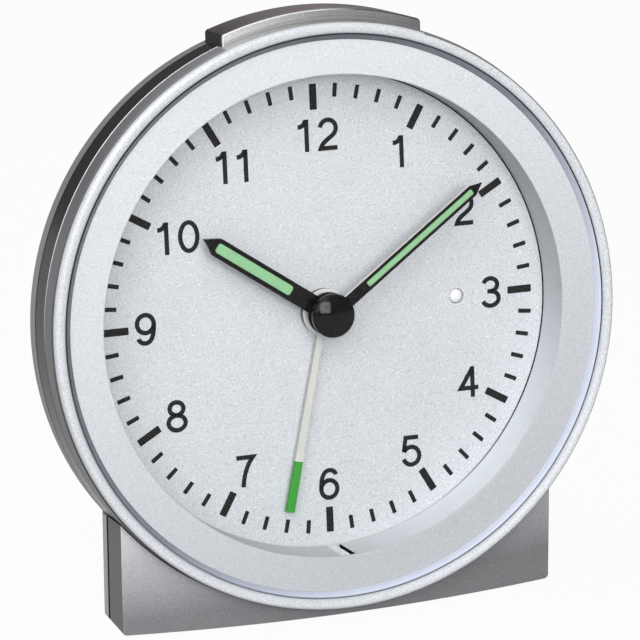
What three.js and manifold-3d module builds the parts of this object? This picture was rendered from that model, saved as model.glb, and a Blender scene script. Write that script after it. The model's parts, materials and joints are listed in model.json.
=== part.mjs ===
// Radio-controlled alarm clock: a round drum that leans back in a low pedestal.
//
// Everything in the drum is drawn in its own frame: x to the right, y up the dial, z out of the
// dial towards the reader, with z = 0 on the face of the dial. One group turns and lifts that
// frame into place. The pedestal is drawn upright, with y running backwards from the dial's middle.

import * as THREE from "three";
import { mergeVertices } from "three/addons/utils/BufferGeometryUtils.js";
import Module from "manifold-3d";

const wasm = await Module();
wasm.setup();

const { PI, cos, sin, tan, asin, acos, sqrt, max, min, round } = Math;

// Driving dimensions, in millimetres and degrees

const gap = 0.3; // air between two pieces that meet
const runningGap = 0.2; // air round a turning shaft
const pressGap = 0.05; // air round a shaft that holds its piece
const ringFacets = 40; // sides of a large turned piece
const discFacets = 18; // sides of a knob, hub or foot
const pinFacets = 10; // sides of a small turned piece
const screwFacets = 8;

const leanDeg = 5.5; // how far the dial leans back
const drumR = 50; // outer radius of the drum's bands
const dialHeight = drumR + 0.85; // middle of the dial above the table
const farOut = 2 * drumR; // past every piece, for bodies that only cut
const bandWall = 1.5; // wall of the front housing and the middle band

const bandFrontZ = 8.3; // where bezel and front housing meet
const frontSeamZ = 4.1; // where front housing and middle band meet
const rearSeamZ = -1; // where middle band and rear cover meet
const rimDepth = 3.3; // straight rim of the rear cover
const drumBackZ = -26; // flat back of the drum

const bezelHeight = 2; // bead above the housing's front edge
const bezelInset = 0.45; // step from the drum's side in to the bead
const bezelWidth = 1.6; // bead across
const bezelSlope = 1.05; // sloping seat inside the bead
const bezelSkirtDepth = 2.4; // snap skirt behind the bead
const lensThickness = 0.6;

const ringWidth = 9; // from the drum's surface in to the dial that shows
const dialViewR = drumR - ringWidth;
const dialThickness = 0.8;
const dialMargin = 1.5; // dial hidden under the ring round it
const ringWall = 1;
const flangeThickness = 1;
const flangeRise = 0.3; // the flange climbs this much towards the bezel
const notchWidth = 2.2; // light window at six o'clock
const sensorX = 0.6 * dialViewR + 0.1; // light sensor at three o'clock
const sensorR = 1.1;

const webThickness = 1.2; // disc of the middle band behind the dial
const flatPadHalf = 17; // pad that closes the band where its underside is cut flat
const flatPadTopY = 4.5 - drumR;
const flatPadFrontZ = 2.4;
const bossR = 2.9;
const bossDepth = 5.7; // screw bosses behind the web
const caseScrewX = drumR - 22;
const caseScrewTopY = drumR - 28;
const caseScrewBottomY = 16 - drumR;
const coverWall = 2;
const domeStartInset = 1; // step from rim to dome
const domeShoulderR = drumR - 7.5;
const domeShoulderZ = -22.3;
const backFlatR = domeShoulderR - 3.8;

const snoozeHalf = 17.6;
const snoozeRise = 1.85;
const snoozeFrontZ = 6;
const snoozeBackZ = -3;
const snoozeWall = 1.3;
const snoozeTravel = 1.5;
const snoozeSkirt = 1.2; // end of the bar below the drum's surface
const snoozeCornerR = 0.5;
const plungerHalf = 1.4; // push switch under the bar, half the plunger's width
const plungerBackZ = 1.8;
const plungerDepth = 2.4;
const plungerRise = 0.6; // plunger above the switch's body
const switchHalf = 3; // half the width of the switch's body
const springX = 12;
const springZ = 0.9;
const springR = 0.95;
const springWireR = 0.2;

const pedestalHalf = drumR - 11;
const pedestalFrontMid = 11.8; // front face ahead of the dial's middle, at the centre
const pedestalFrontSide = 8.2; // the same at the sides
const pedestalSeamY = -0.8;
const pedestalBackY = 2.2;
const pedestalWall = 1.8;
const pedestalCornerR = 0.8;
const tongueHalf = pedestalHalf - 11; // rear foot under the dome
const tongueBackY = 24;
const tongueTop = 9;
const tongueCornerR = 9;
const floorClearance = 0.2; // underside of the pedestal above the table
const flatZ = 1.4; // top of the floor plate under the drum
const footR = 3;
const footRecess = 0.3;
const footFrontX = pedestalHalf - 8;
const footScrewX = tongueHalf / 2;
const footScrewY = tongueBackY - 10;
const baseScrewX = pedestalHalf - 5.6;
const baseScrewZ = 6.2;

const gearReach = 10.4; // between the centre and the arbors of the hand train
const rotorReach = 10.5; // between the transfer arbor and the rotor
const knobReach = 11.2; // between the centre and the alarm arbor
const pressureAngle = (25 * PI) / 180;
const backlash = 0.1;
const cannonTeeth = 10;
const intermediateTeeth = 30;
const hourPinionTeeth = 8;
const hourTeeth = 32;
const minuteTeeth = 40;
const transferPinionTeeth = 8;
const transferTeeth = 48;
const rotorTeeth = 8;
const alarmTeeth = 36;
const alarmPinionTeeth = 12;
const gearThickness = 1.2;
const gearSpace = 0.4; // air between two layers of wheels

const minuteArborR = 0.7;
const pinR = 0.5; // arbors of the other wheels
const tubeWall = 0.65;
const tubeGap = 0.25;
const alarmArborR = 1;

const minuteAngle = 54; // clockwise from twelve: nine minutes past ten
const hourAngle = 304.5;
const alarmAngle = 192.7;
const minuteLength = dialViewR - 6.6;
const minuteWidth = 2.1;
const hourLength = dialViewR - 14.8;
const hourWidth = 3.2;
const alarmLength = dialViewR - 6.1;
const alarmTipWidth = 1.6;
const alarmRootWidth = 1;
const handThickness = 0.7;
const hubR = 4;
const capR = 3.75;
const alarmHandZ = 1;
const hourHandZ = 3.2;
const minuteHandZ = 5.1;
const capFrontZ = 7;
const inlayDepth = 0.35;
const inlayGap = 0.1;
const minuteInlay = { start: 2 * hubR, end: minuteLength - 2.3, width: 0.9 };
const hourInlay = { start: 2 * hubR, end: hourLength - 2.7, width: 1.7 };

const caseHalf = 21; // movement case, half its width
const caseBottom = -10.6;
const caseTop = 33;
const caseWall = 1.2;
const plateThickness = 1;
const caseDepth = 13.6; // from the front plate to the back of the case
const caseCornerR = 3;
const casePosts = [
  [-17, -6],
  [17, 20],
  [-17, 28],
  [17, 28],
];

const magnetR = 2.9;
const magnetDepth = 2;
const statorHalf = 14;
const statorThickness = 1;
const coilY = 9; // middle of the coil above the rotor
const coilR = 2.4;

const boardThickness = 1.2;
const boardHalf = caseHalf + 3;
const boardTop = 31.5;
const boardBottom = -9.6;
const boardSpace = 0.8; // air between movement case and board
const chipHeight = 1.1;
const antennaX = 15.4 - drumR;
const antennaR = 3.5;
const antennaHalf = drumR - 32;
const saddleDepth = 1.1;
const saddleY = 15;
const buzzerY = 29;
const buzzerR = 6.6;
const buzzerDepth = 3.2;

const batteryR = 7.25;
const batteryLength = 50.5;
const batteryY = -19.9;
const bayWall = 1.2;
const bayLength = batteryLength + 8.1;
const bayClearance = 0.35;
const contactThickness = 0.4;
const doorThickness = 1.8;
const doorLip = 1; // undercut that holds the door in its slot
const doorOverlap = 0.7; // door beyond the bay's wall inside

const knobR = 8;
const knobProud = 1.6;
const knobFloor = 2.4; // depth of the recess round the knob
const buttonR = 2.2;
const buttonTravel = 0.8;
const buttonProud = 0.5;
const buttonY = 17;
const buttonXs = [-16, -7, 2];
const switchX = -12;
const switchY = 2;
const switchThrow = 3.2;
const switchGripHalf = 2;

// Places worked out from the dimensions above

const lean = (leanDeg * PI) / 180;
const drumAngle = PI / 2 - lean;
const drumFrame = new THREE.Matrix4().makeRotationX(drumAngle).setPosition(0, 0, dialHeight);
const drumFrameBack = drumFrame.clone().invert();
const webFrontZ = -dialThickness - gap;
const webBackZ = webFrontZ - webThickness;
const rimBackZ = rearSeamZ - rimDepth;
const innerBackZ = drumBackZ + coverWall;
const dialR = dialViewR + dialMargin;
const bezelOuterR = drumR - bezelInset;
const bezelInnerR = bezelOuterR - bezelWidth - bezelSlope;
const bezelSkirtR = drumR - bandWall - gap;
const flangeR = bezelInnerR - gap;
const lensBackZ = bandFrontZ + flangeRise + gap;
const snoozeSlotHalf = snoozeHalf + gap;
const snoozeBottomY = sqrt(drumR ** 2 - snoozeHalf ** 2) - snoozeSkirt;
const slotFloorY = snoozeBottomY - snoozeTravel - gap;
const snoozeSwitchTopY = slotFloorY + 0.8;

const plateFrontZ = webBackZ - gap;
const plateBackZ = plateFrontZ - plateThickness;
const alarmLayer = plateBackZ - gap;
const hourLayer = alarmLayer - gearThickness - gearSpace;
const intermediateLayer = hourLayer - gearThickness - gearSpace - 0.1;
const minuteLayer = intermediateLayer - gearThickness - gearSpace - 0.2;
const transferLayer = minuteLayer - gearThickness - gearSpace;
const rotorLayer = transferLayer - gearThickness - gap;
const caseBackZ = plateBackZ - caseDepth + plateThickness;
const caseInnerZ = caseBackZ + caseWall;
const boardFrontZ = caseBackZ - boardSpace;
const boardBackZ = boardFrontZ - boardThickness;
const statorZ = rotorLayer - 0.5;
const antennaZ = webBackZ - saddleDepth - gap - antennaR;
const batteryZ = drumBackZ + doorThickness + gap + batteryR + 0.5;
const batteryStartX = bayLength / 2 - 0.9 - batteryLength;
const doorStartX = -bayLength / 2 - 0.8;
const knobFloorZ = drumBackZ + knobFloor;
const knobBackZ = drumBackZ - knobProud;
const buttonInnerZ = innerBackZ + 2.1;
const slideBodyZ = innerBackZ + 2.4;
const tactTopZ = buttonInnerZ + buttonTravel + gap;
const bossEndZ = webBackZ - bossDepth;

const moduleOf = (reachOf, teethA, teethB) => (2 * reachOf) / (teethA + teethB);
const cannonModule = moduleOf(gearReach, cannonTeeth, intermediateTeeth);
const hourModule = moduleOf(gearReach, hourPinionTeeth, hourTeeth);
const minuteModule = moduleOf(gearReach, minuteTeeth, transferPinionTeeth);
const rotorModule = moduleOf(rotorReach, transferTeeth, rotorTeeth);
const alarmModule = moduleOf(knobReach, alarmTeeth, alarmPinionTeeth);
const intermediateTurn = (150 * PI) / 180;
const transferTurn = (60 * PI) / 180;
const rotorTurn = (110 * PI) / 180;
const intermediateAt = onCircle(gearReach, intermediateTurn);
const transferAt = onCircle(gearReach, transferTurn);
const rotorAt = onCircle(rotorReach, rotorTurn).add(transferAt);
const arborPlaces = [intermediateAt, transferAt, rotorAt];
const knobAt = new THREE.Vector2(knobReach, 0);
const sensorAt = new THREE.Vector2(sensorX, 0);
const buzzerAt = new THREE.Vector2(0, buzzerY);
const caseScrewPlaces = [
  new THREE.Vector2(-caseScrewX, caseScrewTopY),
  new THREE.Vector2(caseScrewX, caseScrewTopY),
  new THREE.Vector2(0, caseScrewBottomY),
];
const footScrewPlaces = [-footScrewX, footScrewX].map((x) => new THREE.Vector2(x, footScrewY));
const hourTubeR = minuteArborR + tubeGap + tubeWall;
const alarmTubeR = hourTubeR + tubeGap + tubeWall;
const centreHoleR = alarmTubeR + gap;
const boreFor = (shaftR) => (shaftR + pressGap) / cos(PI / pinFacets);

// Materials

const finish = (color, roughness, metalness) =>
  new THREE.MeshStandardMaterial({ color, roughness, metalness });
const looks = {
  satinSilver: finish(0xc9ccd0, 0.35, 0.8),
  paleSilver: finish(0xdadde4, 0.45, 0.6),
  dialSilver: finish(0xd2d4da, 0.5, 0.4),
  anthracite: finish(0x7b7c80, 0.4, 0.6),
  darkGloss: finish(0x3a3431, 0.2, 0.1),
  clear: new THREE.MeshStandardMaterial({
    color: 0xf4f8fa,
    roughness: 0.05,
    metalness: 0,
    transparent: true,
    opacity: 0.2,
  }),
  black: finish(0x15131a, 0.25, 0),
  lume: finish(0x96d89a, 0.7, 0),
  cream: finish(0xd9d7c8, 0.5, 0),
  whiteDome: finish(0xf3f3f3, 0.3, 0),
  nylon: finish(0xe8e4d6, 0.5, 0),
  greyPlastic: finish(0x4a4c50, 0.55, 0),
  steel: finish(0x9a9da2, 0.3, 1),
  copper: finish(0xb4602f, 0.4, 1),
  board: finish(0x1f6b3a, 0.6, 0),
  ferrite: finish(0x2c2b2d, 0.7, 0.2),
  brass: finish(0xb89a4a, 0.35, 1),
  jacket: finish(0x2d5fa8, 0.35, 0.2),
  rubber: finish(0x1b1b1c, 0.9, 0),
};

// Solids

function onCircle(r, turn) {
  return new THREE.Vector2(r * cos(turn), r * sin(turn));
}

// A closed body from any closed geometry, with its faces outwards
function solid(geometry) {
  const bare = geometry.clone();
  bare.deleteAttribute("normal");
  bare.deleteAttribute("uv");
  const merged = mergeVertices(bare, 1e-4);
  const corners = merged.attributes.position.array;
  const index = merged.index.array;
  const point = (i) => new THREE.Vector3().fromArray(corners, 3 * i);
  const faces = [];
  let volume = 0;
  for (let i = 0; i < index.length; i += 3) {
    const [a, b, c] = [index[i], index[i + 1], index[i + 2]];
    if (a === b || b === c || c === a) continue;
    faces.push([a, b, c]);
    volume += point(a).dot(point(b).cross(point(c)));
  }
  const outwards = volume > 0 ? faces : faces.map(([a, b, c]) => [a, c, b]);
  return new wasm.Manifold(
    new wasm.Mesh({
      numProp: 3,
      vertProperties: new Float32Array(corners),
      triVerts: new Uint32Array(outwards.flat()),
    }),
  );
}

function geometryOf(body) {
  const data = body.getMesh();
  const geometry = new THREE.BufferGeometry();
  const corners = new Float32Array(data.numVert * 3);
  for (let i = 0; i < data.numVert; i += 1) {
    for (let k = 0; k < 3; k += 1) corners[3 * i + k] = data.vertProperties[i * data.numProp + k];
  }
  geometry.setAttribute("position", new THREE.BufferAttribute(corners, 3));
  geometry.setIndex([...data.triVerts]);
  return geometry;
}

const joined = (first, ...others) => others.reduce((body, other) => body.add(other), first);
const cut = (first, ...others) => others.reduce((body, other) => body.subtract(other), first);

// Moves a body by a matrix
function placed(body, matrix) {
  return solid(geometryOf(body).applyMatrix4(matrix));
}

// Turned about the z axis from a closed outline of [radius, z] corners
function turned(outline, facets = ringFacets) {
  const onAxis = outline[0][0] === 0;
  const corners = onAxis ? outline : [...outline, outline[0]];
  const points = corners.map(([r, z]) => new THREE.Vector2(r, z));
  return solid(new THREE.LatheGeometry(points, facets).rotateX(PI / 2));
}

function disc(r, z0, z1, at = new THREE.Vector2(), facets = pinFacets) {
  const geometry = new THREE.CylinderGeometry(r, r, z1 - z0, facets).rotateX(PI / 2);
  return solid(geometry.translate(at.x, at.y, (z0 + z1) / 2));
}

function block(x0, x1, y0, y1, z0, z1) {
  const geometry = new THREE.BoxGeometry(x1 - x0, y1 - y0, z1 - z0);
  return solid(geometry.translate((x0 + x1) / 2, (y0 + y1) / 2, (z0 + z1) / 2));
}

function prism(shape, z0, z1, curveSegments = 6) {
  const options = { depth: z1 - z0, bevelEnabled: false, curveSegments };
  return solid(new THREE.ExtrudeGeometry(shape, options).translate(0, 0, z0));
}

// A bar along x, turned from a disc along z
function rod(r, x0, x1, y, z, facets = pinFacets) {
  const geometry = new THREE.CylinderGeometry(r, r, x1 - x0, facets).rotateZ(PI / 2);
  return solid(geometry.translate((x0 + x1) / 2, y, z));
}

function polygon(points) {
  return new THREE.Shape(points.map(([x, y]) => new THREE.Vector2(x, y)));
}

function roundedRectangle(x0, x1, y0, y1, r) {
  const shape = new THREE.Shape();
  shape.moveTo(x0 + r, y0);
  shape.lineTo(x1 - r, y0);
  shape.absarc(x1 - r, y0 + r, r, -PI / 2, 0, false);
  shape.lineTo(x1, y1 - r);
  shape.absarc(x1 - r, y1 - r, r, 0, PI / 2, false);
  shape.lineTo(x0 + r, y1);
  shape.absarc(x0 + r, y1 - r, r, PI / 2, PI, false);
  shape.lineTo(x0, y0 + r);
  shape.absarc(x0 + r, y0 + r, r, PI, 1.5 * PI, false);
  return shape;
}

function part(name, body, material) {
  const mesh = new THREE.Mesh(geometryOf(body), material);
  mesh.name = name;
  return mesh;
}

const drum = new THREE.Group();
const pedestal = new THREE.Group();

// Drum: bezel, lens, ring round the dial, dial

function arcPoints(cx, cz, r, from, to, steps) {
  return Array.from({ length: steps + 1 }, (_, i) => {
    const a = from + ((to - from) * i) / steps;
    return [cx + r * cos(a), cz + r * sin(a)];
  });
}

const snoozeSlot = block(
  -snoozeSlotHalf,
  snoozeSlotHalf,
  slotFloorY,
  drumR + 5,
  snoozeBackZ - gap,
  snoozeFrontZ + gap,
);

function bezel() {
  const backZ = bandFrontZ + gap / 2;
  const beadR = bezelWidth / 2;
  const beadZ = bandFrontZ + bezelHeight - beadR;
  const grooveR = bezelOuterR - bezelWidth;
  const bead = arcPoints(bezelOuterR - beadR, beadZ, beadR, 0, PI, 5);
  const profile = [
    [bezelOuterR, backZ],
    ...bead,
    [grooveR - 0.2, bandFrontZ + 1],
    [bezelInnerR, bandFrontZ + flangeRise],
    [bezelInnerR, backZ - bezelSkirtDepth],
    [bezelSkirtR, backZ - bezelSkirtDepth],
    [bezelSkirtR, backZ],
  ];
  return cut(turned(profile), snoozeSlot);
}

function lens() {
  const frontZ = lensBackZ + lensThickness;
  return turned([
    [0, lensBackZ],
    [bezelInnerR - gap / 2, lensBackZ],
    [bezelInnerR + gap, frontZ],
    [0, frontZ],
  ]);
}

function dialRing() {
  const footZ = gap;
  const wallR = dialViewR + ringWall;
  const underZ = bandFrontZ - flangeThickness;
  const ring = turned([
    [dialViewR, footZ],
    [wallR, footZ],
    [wallR, underZ],
    [flangeR, underZ],
    [flangeR, bandFrontZ + flangeRise],
    [dialViewR, bandFrontZ],
  ]);
  const notch = block(-notchWidth / 2, notchWidth / 2, -wallR - 0.4, 1 - dialViewR, 0, underZ);
  return cut(ring, notch);
}

function dial() {
  const plate = turned([
    [centreHoleR, -dialThickness],
    [dialR, -dialThickness],
    [dialR, 0],
    [centreHoleR, 0],
  ]);
  const sensorHole = disc(sensorR + 0.25, -2, 1, sensorAt);
  return cut(plate, sensorHole);
}

function lightGuide() {
  const half = notchWidth / 2 - 0.2;
  const outerY = -(dialViewR + ringWall);
  return block(-half, half, outerY, outerY + ringWall - 0.2, gap, bandFrontZ - flangeThickness - gap);
}

function dialLed() {
  const nearY = -(dialViewR + ringWall) - 0.7;
  const lamp = block(-1.5, 1.5, nearY - 1.8, nearY, gap, 3);
  return joined(lamp, block(-0.8, 0.8, nearY - 0.5, nearY + 0.4, 0.8, 2.4));
}

function sensorDome() {
  const domeTop = 0.6;
  const profile = [
    [0, webBackZ - gap - 0.9],
    [sensorR + 0.8, webBackZ - gap - 0.9],
    [sensorR + 0.8, webBackZ - gap],
    [sensorR, webBackZ - gap],
    ...arcPoints(0, domeTop - sensorR, sensorR, 0, PI / 2, 3).slice(0, 3),
    [0, domeTop],
  ];
  return atPlace(turned(profile, pinFacets), sensorAt);
}

// Drum: housings

// Outer surface of the drum as [radius, z] corners, grown by an offset and run on past the
// pedestal's front, which it cuts
function drumOutline(offset) {
  const frontZ = pedestalFrontMid + 0.2 + offset;
  const shoulder = new THREE.Vector2(domeShoulderR, domeShoulderZ);
  const flat = new THREE.Vector2(backFlatR, drumBackZ);
  const knee = new THREE.Vector2(domeShoulderR - 1, drumBackZ + 0.9);
  const bend = new THREE.QuadraticBezierCurve(shoulder, knee, flat).getPoints(2);
  return [
    [0, frontZ],
    [drumR + offset, frontZ],
    [drumR + offset, rimBackZ - offset],
    [drumR - domeStartInset + offset, rimBackZ - gap - offset],
    ...bend.map((p) => [p.x + offset, p.y - offset]),
    [0, drumBackZ - offset],
  ];
}

// What the pedestal's floor plate takes away from the round underside
function flatUnder() {
  const under = block(-farOut, farOut, -farOut, farOut, -farOut, flatZ + gap);
  return placed(under, drumFrameBack);
}

function frontHousing() {
  const frontZ = bandFrontZ - gap / 2;
  const backZ = frontSeamZ + gap / 2;
  const innerR = drumR - bandWall;
  const ledgeZ = bandFrontZ - bezelSkirtDepth - gap;
  const ledgeR = flangeR - 0.4;
  const tongueR = innerR - gap;
  const tongueDepth = 1.2;
  const ring = turned([
    [drumR, backZ],
    [drumR, frontZ],
    [innerR, frontZ],
    [innerR, ledgeZ],
    [ledgeR, ledgeZ],
    [ledgeR, backZ - tongueDepth],
    [tongueR, backZ - tongueDepth],
    [tongueR, backZ],
  ]);
  return cut(ring, snoozeSlot, flatUnder());
}

function middleBand() {
  const frontZ = frontSeamZ - gap / 2;
  const backZ = rearSeamZ + gap / 2;
  const innerR = drumR - bandWall;
  const seatR = dialR + gap;
  const band = turned([
    [centreHoleR + 0.4, webBackZ],
    [drumR - coverWall - gap, webBackZ],
    [drumR - coverWall - gap, backZ],
    [drumR, backZ],
    [drumR, frontZ],
    [innerR, frontZ],
    [innerR, 0],
    [seatR, 0],
    [seatR, webFrontZ],
    [centreHoleR + 0.4, webFrontZ],
  ]);
  const pad = block(-flatPadHalf, flatPadHalf, -drumR, flatPadTopY, backZ, flatPadFrontZ);
  const sensorHole = disc(sensorR + 0.25, -4, 1, sensorAt);
  const springSeats = [-1, 1].map((side) =>
    block(springX * side - 1.8, springX * side + 1.8, dialR + 0.1, slotFloorY, webFrontZ, 2.5),
  );
  const rodSaddles = [-1, 1].map((side) =>
    block(
      antennaX - 2.9,
      antennaX + 2.9,
      saddleY * side - 1.5,
      saddleY * side + 1.5,
      webBackZ - saddleDepth,
      webBackZ + 0.2,
    ),
  );
  const bosses = caseScrewPlaces.map((at) => disc(bossR, bossEndZ, webBackZ + 0.3, at));
  const pilots = caseScrewPlaces.map((at) => disc(1.1, bossEndZ - 1, webBackZ, at, screwFacets));
  const shell = cut(joined(band, pad.intersect(turned(drumOutline(0)))), snoozeSlot, flatUnder());
  return cut(joined(shell, ...springSeats, ...rodSaddles, ...bosses), sensorHole, ...pilots);
}

function doorSlotShape(clearance) {
  const half = batteryR + bayClearance + bayWall + doorOverlap + clearance;
  const y = batteryY;
  const outer = half - doorLip;
  const top = drumBackZ + doorThickness + clearance;
  return polygon([
    [y - outer, drumBackZ - 1],
    [y - outer, drumBackZ],
    [y - half, top],
    [y + half, top],
    [y + outer, drumBackZ],
    [y + outer, drumBackZ - 1],
  ]);
}

// The door's section drawn in y and z, run along x
function doorRun(clearance, x0, x1) {
  const along = new THREE.Matrix4().makeBasis(
    new THREE.Vector3(0, 1, 0),
    new THREE.Vector3(0, 0, 1),
    new THREE.Vector3(1, 0, 0),
  );
  return placed(prism(doorSlotShape(clearance), x0, x1), along);
}

function rearCover() {
  const frontZ = rearSeamZ - gap / 2;
  const outside = turned(drumOutline(0));
  const behind = block(-farOut, farOut, -farOut, farOut, drumBackZ - 1, frontZ);
  const domed = outside.intersect(behind);
  const innerRimR = drumR - coverWall;
  const inside = turned([
    [0, frontZ + 1],
    [innerRimR, frontZ + 1],
    [innerRimR, rimBackZ - gap],
    [innerRimR - domeStartInset, rimBackZ - 1],
    [domeShoulderR - coverWall, domeShoulderZ + 0.4],
    [backFlatR - coverWall + 0.4, innerBackZ],
    [0, innerBackZ],
  ]);
  const shell = cut(domed, inside);
  const bayHalf = batteryR + bayClearance;
  const bayTopZ = batteryZ + bayHalf;
  const tub = block(
    -bayLength / 2 - bayWall,
    drumR,
    batteryY - bayHalf - bayWall,
    batteryY + bayHalf + bayWall,
    drumBackZ,
    bayTopZ + bayWall,
  ).intersect(domed);
  const bay = block(
    -bayLength / 2,
    bayLength / 2,
    batteryY - bayHalf,
    batteryY + bayHalf,
    drumBackZ - 1,
    bayTopZ,
  );
  const knobPad = disc(knobR + 2.4, innerBackZ - 1, innerBackZ + 2, knobAt, discFacets);
  const knobRecess = disc(knobR + 0.4, drumBackZ - 1, knobFloorZ, knobAt, discFacets);
  const knobHole = disc(alarmArborR + 1.4, drumBackZ, innerBackZ + 4, knobAt);
  const padTrim = block(-farOut, farOut, -farOut, batteryY + bayHalf, -farOut, farOut);
  const screwBosses = caseScrewPlaces.map((at) =>
    disc(bossR + 0.5, innerBackZ - 1, bossEndZ - gap, at),
  );
  const counterbores = caseScrewPlaces.map((at) => disc(2.4, drumBackZ - 1, innerBackZ + 0.2, at));
  const screwHoles = caseScrewPlaces.map((at) => disc(1.2, drumBackZ - 1, 0, at, screwFacets));
  const buttonHoles = buttonXs.map((x) =>
    disc(buttonR + gap, drumBackZ - 1, innerBackZ + 1, new THREE.Vector2(x, buttonY)),
  );
  const switchSlot = block(
    switchX - switchGripHalf - switchThrow - gap,
    switchX + switchGripHalf + gap,
    switchY - 1.5 - gap,
    switchY + 1.5 + gap,
    drumBackZ - 1,
    innerBackZ + 1,
  );
  const soundHoles = [new THREE.Vector2()]
    .concat(Array.from({ length: 6 }, (_, i) => onCircle(3.6, (i * PI) / 3)))
    .map((at) => disc(0.9, drumBackZ - 1, innerBackZ + 1, at.add(buzzerAt), screwFacets));
  const footBosses = footScrewPlaces.map((at) =>
    placed(disc(3, flatZ, 13, at), drumFrameBack).intersect(outside),
  );
  const footHoles = footScrewPlaces.map((at) => placed(disc(1, 0, 11.5, at, screwFacets), drumFrameBack));
  return cut(
    joined(shell, tub, cut(knobPad, padTrim), ...screwBosses, ...footBosses),
    bay,
    doorRun(gap, doorStartX - gap, farOut),
    knobRecess,
    knobHole,
    ...counterbores,
    ...screwHoles,
    ...buttonHoles,
    switchSlot,
    ...soundHoles,
    ...footHoles,
    snoozeSlot,
    flatUnder(),
  );
}

function caseScrew(at) {
  const headZ = innerBackZ + 0.2 - gap;
  return joined(
    disc(2, headZ - 1.5, headZ, at),
    disc(0.9, headZ - 0.1, webBackZ - 1.4, at, screwFacets),
  );
}

// Snooze bar

// Top arc with a small corner at each of the two upright ends
function snoozeOutline(topR, bottomY, half, cornerR) {
  const topAngle = asin((half - cornerR) / topR);
  const steps = 12;
  const top = Array.from({ length: steps + 1 }, (_, i) => {
    const a = topAngle * (1 - (2 * i) / steps);
    return [topR * sin(a), topR * cos(a)];
  });
  const cornerY = topR * cos(topAngle) - cornerR;
  return polygon([
    [half, bottomY],
    [half, cornerY],
    ...top,
    [-half, cornerY],
    [-half, bottomY],
  ]);
}

function snoozeBar() {
  const topR = drumR + snoozeRise;
  const outline = snoozeOutline(topR, snoozeBottomY, snoozeHalf, snoozeCornerR);
  const outer = prism(outline, snoozeBackZ, snoozeFrontZ);
  const hollow = prism(
    snoozeOutline(topR - snoozeWall, snoozeBottomY - 2, snoozeHalf - snoozeWall, 0.3),
    snoozeBackZ + snoozeWall,
    snoozeFrontZ - snoozeWall,
  );
  const stemHalf = plungerHalf + 0.2;
  const stem = block(
    -stemHalf,
    stemHalf,
    snoozeSwitchTopY + snoozeTravel + gap,
    topR - snoozeWall / 2,
    plungerBackZ - 0.2,
    plungerBackZ + plungerDepth + 0.2,
  );
  return joined(cut(outer, hollow), stem);
}

function snoozeSwitch() {
  const bodyTopY = snoozeSwitchTopY - plungerRise;
  const bodyFrontZ = snoozeFrontZ - snoozeWall - gap;
  const plungerFrontZ = plungerBackZ + plungerDepth;
  return joined(
    block(-switchHalf, switchHalf, dialR + gap, bodyTopY, gap, bodyFrontZ),
    block(-plungerHalf, plungerHalf, bodyTopY - 0.2, snoozeSwitchTopY, plungerBackZ, plungerFrontZ),
  );
}

// A coil spring standing along y
function coilSpring(x, y0, y1, turns) {
  class Coil extends THREE.Curve {
    getPoint(t, target = new THREE.Vector3()) {
      const a = 2 * PI * turns * t;
      const rise = y0 + springWireR + (y1 - y0 - 2 * springWireR) * t;
      return target.set(x + springR * cos(a), rise, springZ + springR * sin(a));
    }
  }
  const wire = new THREE.Shape();
  wire.absarc(0, 0, springWireR, 0, 2 * PI, false);
  const options = { extrudePath: new Coil(), steps: 8 * turns, curveSegments: 2.5, bevelEnabled: false };
  const pitch = (y1 - y0 - 2 * springWireR) / turns;
  console.log(`coil spring at x ${x}: air between turns ${(pitch - 2 * springWireR).toFixed(2)} mm`);
  return solid(new THREE.ExtrudeGeometry(wire, options));
}

function snoozeSpring(side) {
  const topR = drumR + snoozeRise - snoozeWall;
  const ceiling = sqrt(topR ** 2 - (springX + 1.4) ** 2);
  return coilSpring(side * springX, slotFloorY + gap, ceiling - gap, 3);
}

// Gears

// One toothed outline; a tooth is centred on the angle toothAt
function gearOutline(teeth, modulus, toothAt) {
  const pitchR = (modulus * teeth) / 2;
  const baseR = pitchR * cos(pressureAngle);
  const tipR = pitchR + 0.8 * modulus;
  const rootR = pitchR - 1.05 * modulus;
  const involute = (r) => {
    const a = acos(min(1, baseR / max(r, baseR)));
    return tan(a) - a;
  };
  const halfPitchTooth = (PI * modulus) / 4 / pitchR - backlash / (2 * pitchR);
  const halfAngle = (r) => halfPitchTooth + involute(pitchR) - involute(r);
  const points = [];
  for (let i = 0; i < teeth; i += 1) {
    const middle = toothAt + (2 * PI * i) / teeth;
    points.push(onCircle(rootR, middle - halfAngle(rootR)), onCircle(tipR, middle - halfAngle(tipR)));
    points.push(onCircle(tipR, middle + halfAngle(tipR)), onCircle(rootR, middle + halfAngle(rootR)));
  }
  return new THREE.Shape(points);
}

// A wheel or pinion from z0 back by its thickness
function gear(teeth, modulus, toothAt, frontZ, thickness = gearThickness) {
  return prism(gearOutline(teeth, modulus, toothAt), frontZ - thickness, frontZ);
}

// Turn of a gear seen from its own middle so that a gap faces the direction given
const gapTowards = (direction, teeth) => direction + PI / teeth;

function atPlace(body, at) {
  return placed(body, new THREE.Matrix4().makeTranslation(at.x, at.y, 0));
}

function minuteWheel() {
  const cannon = gear(
    cannonTeeth,
    cannonModule,
    intermediateTurn,
    intermediateLayer + 0.2,
    intermediateLayer + 0.2 - minuteLayer + 0.1,
  );
  const wheel = gear(minuteTeeth, minuteModule, transferTurn, minuteLayer);
  const bore = disc(boreFor(minuteArborR), -farOut, 0);
  return cut(joined(cannon, wheel), bore);
}

function minuteArbor() {
  const collarZ = intermediateLayer + 0.2 + gap;
  return joined(
    disc(minuteArborR, caseInnerZ - 0.7, capFrontZ - 0.6),
    disc(minuteArborR + 0.2, collarZ - 0.1, collarZ + 0.4),
  );
}

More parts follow.
